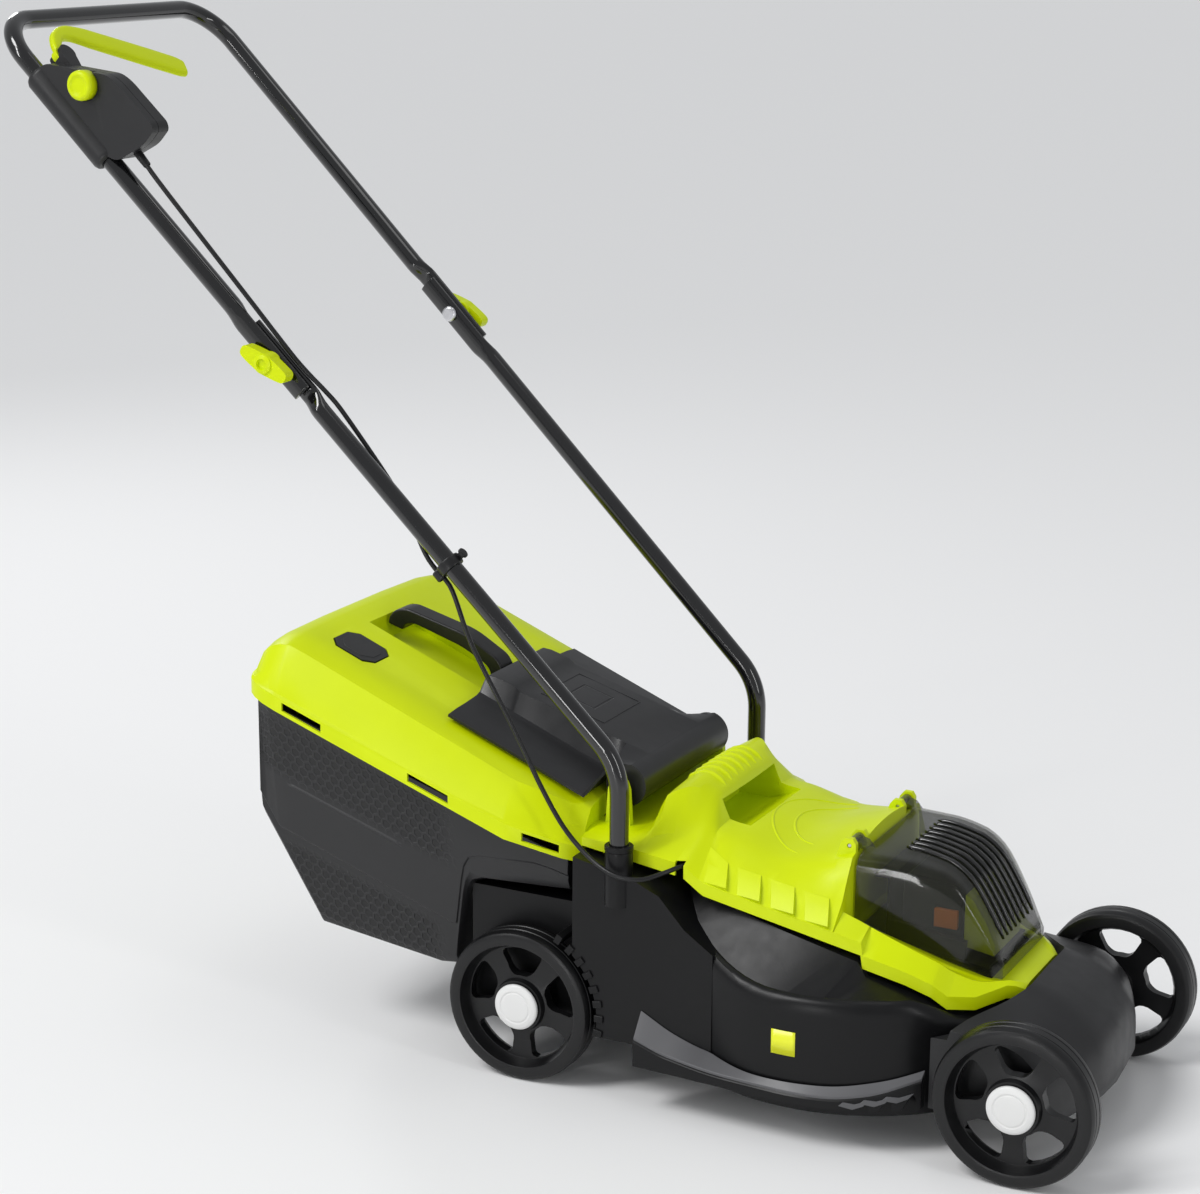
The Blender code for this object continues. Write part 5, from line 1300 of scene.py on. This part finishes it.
def deck_rings(inset):
    """Rings of the round blade housing from its lower rim to its top, moved in by inset."""
    radius = DECK_RADIUS - inset
    rings = []
    turns = [2 * math.pi * i / 96 for i in range(96)]
    for out, from_ridge, fixed in DECK_WALLS:
        ring = []
        for t in turns:
            r = radius + out
            x = HUB_X + r * math.cos(t)
            z = fixed if from_ridge is None else ridge_height(x) + from_ridge - inset
            ring.append(Vector((x, r * math.sin(t), z)))
        rings.append(ring)
    wall = inset * 7
    levels = ((1 - wall, plinth_height), (0.9 + wall, plinth_height), (0.8 + wall, lambda x: PAN_Z))
    for scale, height in levels:
        rings.append([plinth_point(t, scale, height, inset) for t in turns])
    if inset:
        rings.insert(0, [Vector((p.x, p.y, SKIRT_Z - 0.02)) for p in rings[0]])
    return rings


def axle_slot(x):
    """The slot that an axle slides up and down in, open at the bottom."""
    half = 0.0057
    top = WHEEL_RADIUS + half
    outline = [(x - half, 0.0), (x - half, top - 0.002), (x, top), (x + half, top - 0.002), (x + half, 0.0)]
    return side_prism(outline, -0.16, 0.16)


def make_deck():
    deck = mesh_object("deck_shell", loft(deck_rings(0.0)))
    tail = mm([(-70, 52), (-70, 184), (50, 184), (200, 150), (200, 52)])
    shoulder = mm([(57.5, 60), (57.5, 242.5), (119, 231), (150, 218), (178, 188), (208, 168)])
    shoulder.append((0.208, 0.06))
    adds = [side_prism(tail, -0.142, 0.142), side_prism(shoulder, -0.1715, 0.1715)]
    for _, side in SIDES:
        profile = mm([(13.8, 0), (13.8, 52), (13.2, 55), (14.2, 56), (14.2, 60), (12.8, 61)])
        adds.append(turned((BEND.x, side * LEG_BOTTOM_Y, 0.2), (0, 0, 1), profile, 40))
    carve(deck, "UNION", adds)
    carve(deck, "DIFFERENCE", [loft(deck_rings(0.003))])
    chute = mm([
        (215, 22), (215, 146), (152, 196), (118, 227), (50, 239.5), (30, 239.5), (30, 194), (75, 188),
        (134, 110), (154, 22),
    ])
    rear_space = mm([(-67, 40), (-67, 181), (66, 181), (122, 108), (141, 40)])
    cuts = [side_prism(chute, -0.096, 0.096), side_prism(rear_space, -0.096, 0.096)]
    for _, side in SIDES:
        side_space = mm([
            (-67, 40), (-67, 181), (53, 181), (53, 239), (119, 227.5), (150, 214.5), (170, 190), (170, 40),
        ])
        cuts.append(side_block(side_space, side, 0.099, 0.139))
        outer_space = mm([(92.5, 40), (92.5, 190), (170, 190), (204, 164), (204, 40)])
        cuts.append(side_block(outer_space, side, 0.138, 0.1685))
        low, high = sorted((side * 0.1425, side * 0.2))
        cuts.append(cross_rod((0, WHEEL_RADIUS), low, high, WHEEL_RADIUS + 0.007, 72))
        cuts.append(upright_rod(BEND.x, side * LEG_BOTTOM_Y, 0.205, 0.3, TUBE_RADIUS + 0.0004, 28))
    cuts += [axle_slot(0), upright_rod(HUB_X, 0, 0.12, 0.2, 0.014)]
    for shape in cuts:
        carve(deck, "DIFFERENCE", [shape])
    piece(deck, "chassis", "deck_black", ["deck"], width=0.0014)


NOTCH = ((0.0826, -2.6), (0.0826, 2.6), (0.0925, 2.2), (0.0925, -2.2))
STICKER_LOW = 0.0905
STICKER_SECTION = mm([(0.6, 90.5), (1.2, 90.5), (1.2, 115), (0.6, 115)])


def make_notches():
    """The notched arc in front of each rear wheel."""
    for name, side in SIDES:
        shapes = []
        for middle in range(-9, 71, 10):
            corners = [polar(radius, middle + degrees) for radius, degrees in NOTCH]
            shapes.append(side_block([(x, WHEEL_RADIUS + z) for x, z in corners], side, 0.144, 0.1738))
        teeth = mesh_object(f"notches_{name}", shapes[0])
        carve(teeth, "UNION", shapes[1:])
        piece(teeth, "chassis", "deck_black", width=0.0009, segments=2)


def make_sticker():
    """A blank sticker on the right of the drum."""
    rings = []
    for i in range(9):
        ring = []
        for out, z in STICKER_SECTION:
            x, y = polar(DECK_RADIUS - 0.0012 + out + (z - STICKER_LOW) * 0.012, -93.6 + 0.92 * i)
            ring.append((HUB_X + x, y, z))
        rings.append(ring)
    sticker = mesh_object("blank_sticker", loft(rings))
    piece(sticker, "chassis", "lime", width=0, finish=STICKER_FINISH)


HOUSING_X = mm([
    # y, then x of the points from the rear edge over the top and down to the front edge
    (0, 430, 483.5, 486, 523, 552, 564, 566, 560), (50, 430, 483.5, 486, 520, 548, 560, 562, 556),
    (80, 425, 470, 473, 512, 536, 551, 554, 548), (120, 420, 445, 448, 502, 524, 537, 541, 536),
    (141, 415, 435, 438, 494, 516, 529, 533, 528),
])
HOUSING_Z = mm([
    # y, then z of the same points
    (0, 118, 120, 150, 139, 117, 96, 58, 44), (50, 118, 120, 149, 138, 116, 96, 58, 44),
    (80, 117, 119, 141, 134, 118, 94, 58, 44), (120, 116, 118, 132, 127, 113, 92, 58, 44),
    (141, 115, 116, 126, 120, 107, 89, 58, 44),
])


def housing_ring(y):
    """The housing's section at y, with its outer curve drawn finely."""
    tables = (HOUSING_X, HOUSING_Z)
    points = [tuple(smooth(abs(y), column(table, k)) for table in tables) for k in range(1, 9)]
    outer = points[2:]
    middle = [tuple(p) for p in smooth_route([Vector((a, 0, b)) for a, b in outer[:5]], 0.0035)]
    count = 14
    curve = []
    for i in range(count + 1):
        at = i * (len(middle) - 1) / count
        a, b = middle[int(at)], middle[min(int(at) + 1, len(middle) - 1)]
        part = at - int(at)
        curve.append((a[0] + (b[0] - a[0]) * part, a[2] + (b[2] - a[2]) * part))
    return [(x, y, z) for x, z in [(0.405, 0.044)] + points[:2] + curve + [points[7]]]


def make_front_housing():
    ys = [-0.141 + 0.282 * i / 28 for i in range(29)]
    housing = shell("front_hood", [housing_ring(y) for y in ys], 0.003)
    drum = upright_rod(HUB_X, 0, 0.0, 0.2, DECK_RADIUS + 0.0012, 96)
    carve(housing, "DIFFERENCE", [drum, axle_slot(WHEELBASE)])
    piece(housing, "chassis", "charcoal", ["front_housing"], width=0.0016)


COMB_REAR, COMB_FRONT, COMB_REAR_Y, COMB_RADIUS = 0.1335, 0.416, 0.1722, 0.1985
CLAW = mm([(0, 8.5), (10, 7), (22, 10.5), (17.5, 5), (8.5, 1.5), (-4, 4.5)])
# z of the ledge's inner and outer edge at x
COMB_TOP = mm([(133.5, 98), (170, 80), (205, 70), (260, 64), (330, 66), (383, 74), (416, 83)])
COMB_EDGE = mm([(133.5, 73), (170, 63), (235, 56.5), (330, 55.5), (370, 60), (416, 75)])


def round_side(x, radius):
    return math.sqrt(radius ** 2 - (x - HUB_X) ** 2)


def make_combs():
    """The grass combs: a ledge on top and forward teeth in pale grey, a painted highlight for the lit upper
    face of the dark comb, and a dark flared skirt below the ledge.
    """
    for name, side in SIDES:
        ledge, skirt = [], []
        for x in stations(COMB_REAR, COMB_FRONT, 40):
            inner = COMB_REAR_Y if x < 0.2085 else round_side(x, DECK_RADIUS + 0.0008)
            inner = max(inner, COMB_REAR_Y) if x < 0.225 else inner
            outer = 0.1905 + 0.008 * (x - COMB_REAR) / 0.1565 if x < HUB_X else round_side(x, COMB_RADIUS)
            top, edge = smooth(x, COMB_TOP), smooth(x, COMB_EDGE)
            lip, foot = outer - 0.0016, 0.0465
            upper = ((inner, top), (lip, edge + 0.0024), (lip, edge - 0.0006), (inner, top - 0.004))
            lower = ((inner, top - 0.0036), (outer - 0.0012, edge - 0.0002), (outer, edge - 0.0016))
            lower += ((outer, foot), (inner, foot))
            ledge.append([Vector((x, side * a, b)) for a, b in upper])
            skirt.append([Vector((x, side * a, b)) for a, b in lower])
        shelf = mesh_object(f"comb_ledge_{name}", loft(ledge))
        piece(shelf, "chassis", "comb_grey", [f"grass_comb_{name}"], width=0.0006, segments=2)
        blade = mesh_object(f"comb_skirt_{name}", loft(skirt))
        cuts = []
        for i in range(3):
            x, lift = 0.362 + 0.019 * i, 0.004 * i
            notch = [(x, 0.044), (x + 0.012, 0.044), (x + 0.0125, 0.05 + lift), (x + 0.009, 0.056 + lift)]
            cuts.append(side_block(notch, side, 0.1, 0.21))
        carve(blade, "DIFFERENCE", cuts)
        piece(blade, "chassis", "deck_black", width=0.0008, segments=2)
        for i in range(3):
            x, z = 0.352 + 0.0185 * i, 0.05 + 0.0034 * i
            claw = []
            for along, drop in CLAW:
                at = x + along
                claw.append(Vector((at, side * (round_side(at, COMB_RADIUS) - 0.0006), z + drop - 0.0035)))
            tine = mesh_object(f"comb_claw_{name}_{i}", prism(claw, (0, side * 0.0016, 0)))
            piece(tine, "chassis", "comb_grey", width=0.0004, segments=2)


# ---------------------------------------------------------------- assembly


set_camera()
set_studio()
bpy.context.scene.view_settings.view_transform = "Standard"
make_wheels()
for side_name, side_sign in SIDES:
    make_lower_leg(side_name, side_sign)
make_upper_tube()
make_knobs()
make_switch_box()
make_button()
make_clip()
make_spring()
make_lever()
make_cable()
make_lid()
make_indicator()
make_lid_grip()
make_tub()
make_flap()
make_motor_cover()
make_battery_cover()
make_deck()
make_notches()
make_sticker()
make_front_housing()
make_combs()
for node_name in sorted(set(frame["nodes"]) - REPLACED):
    soften(node_name)
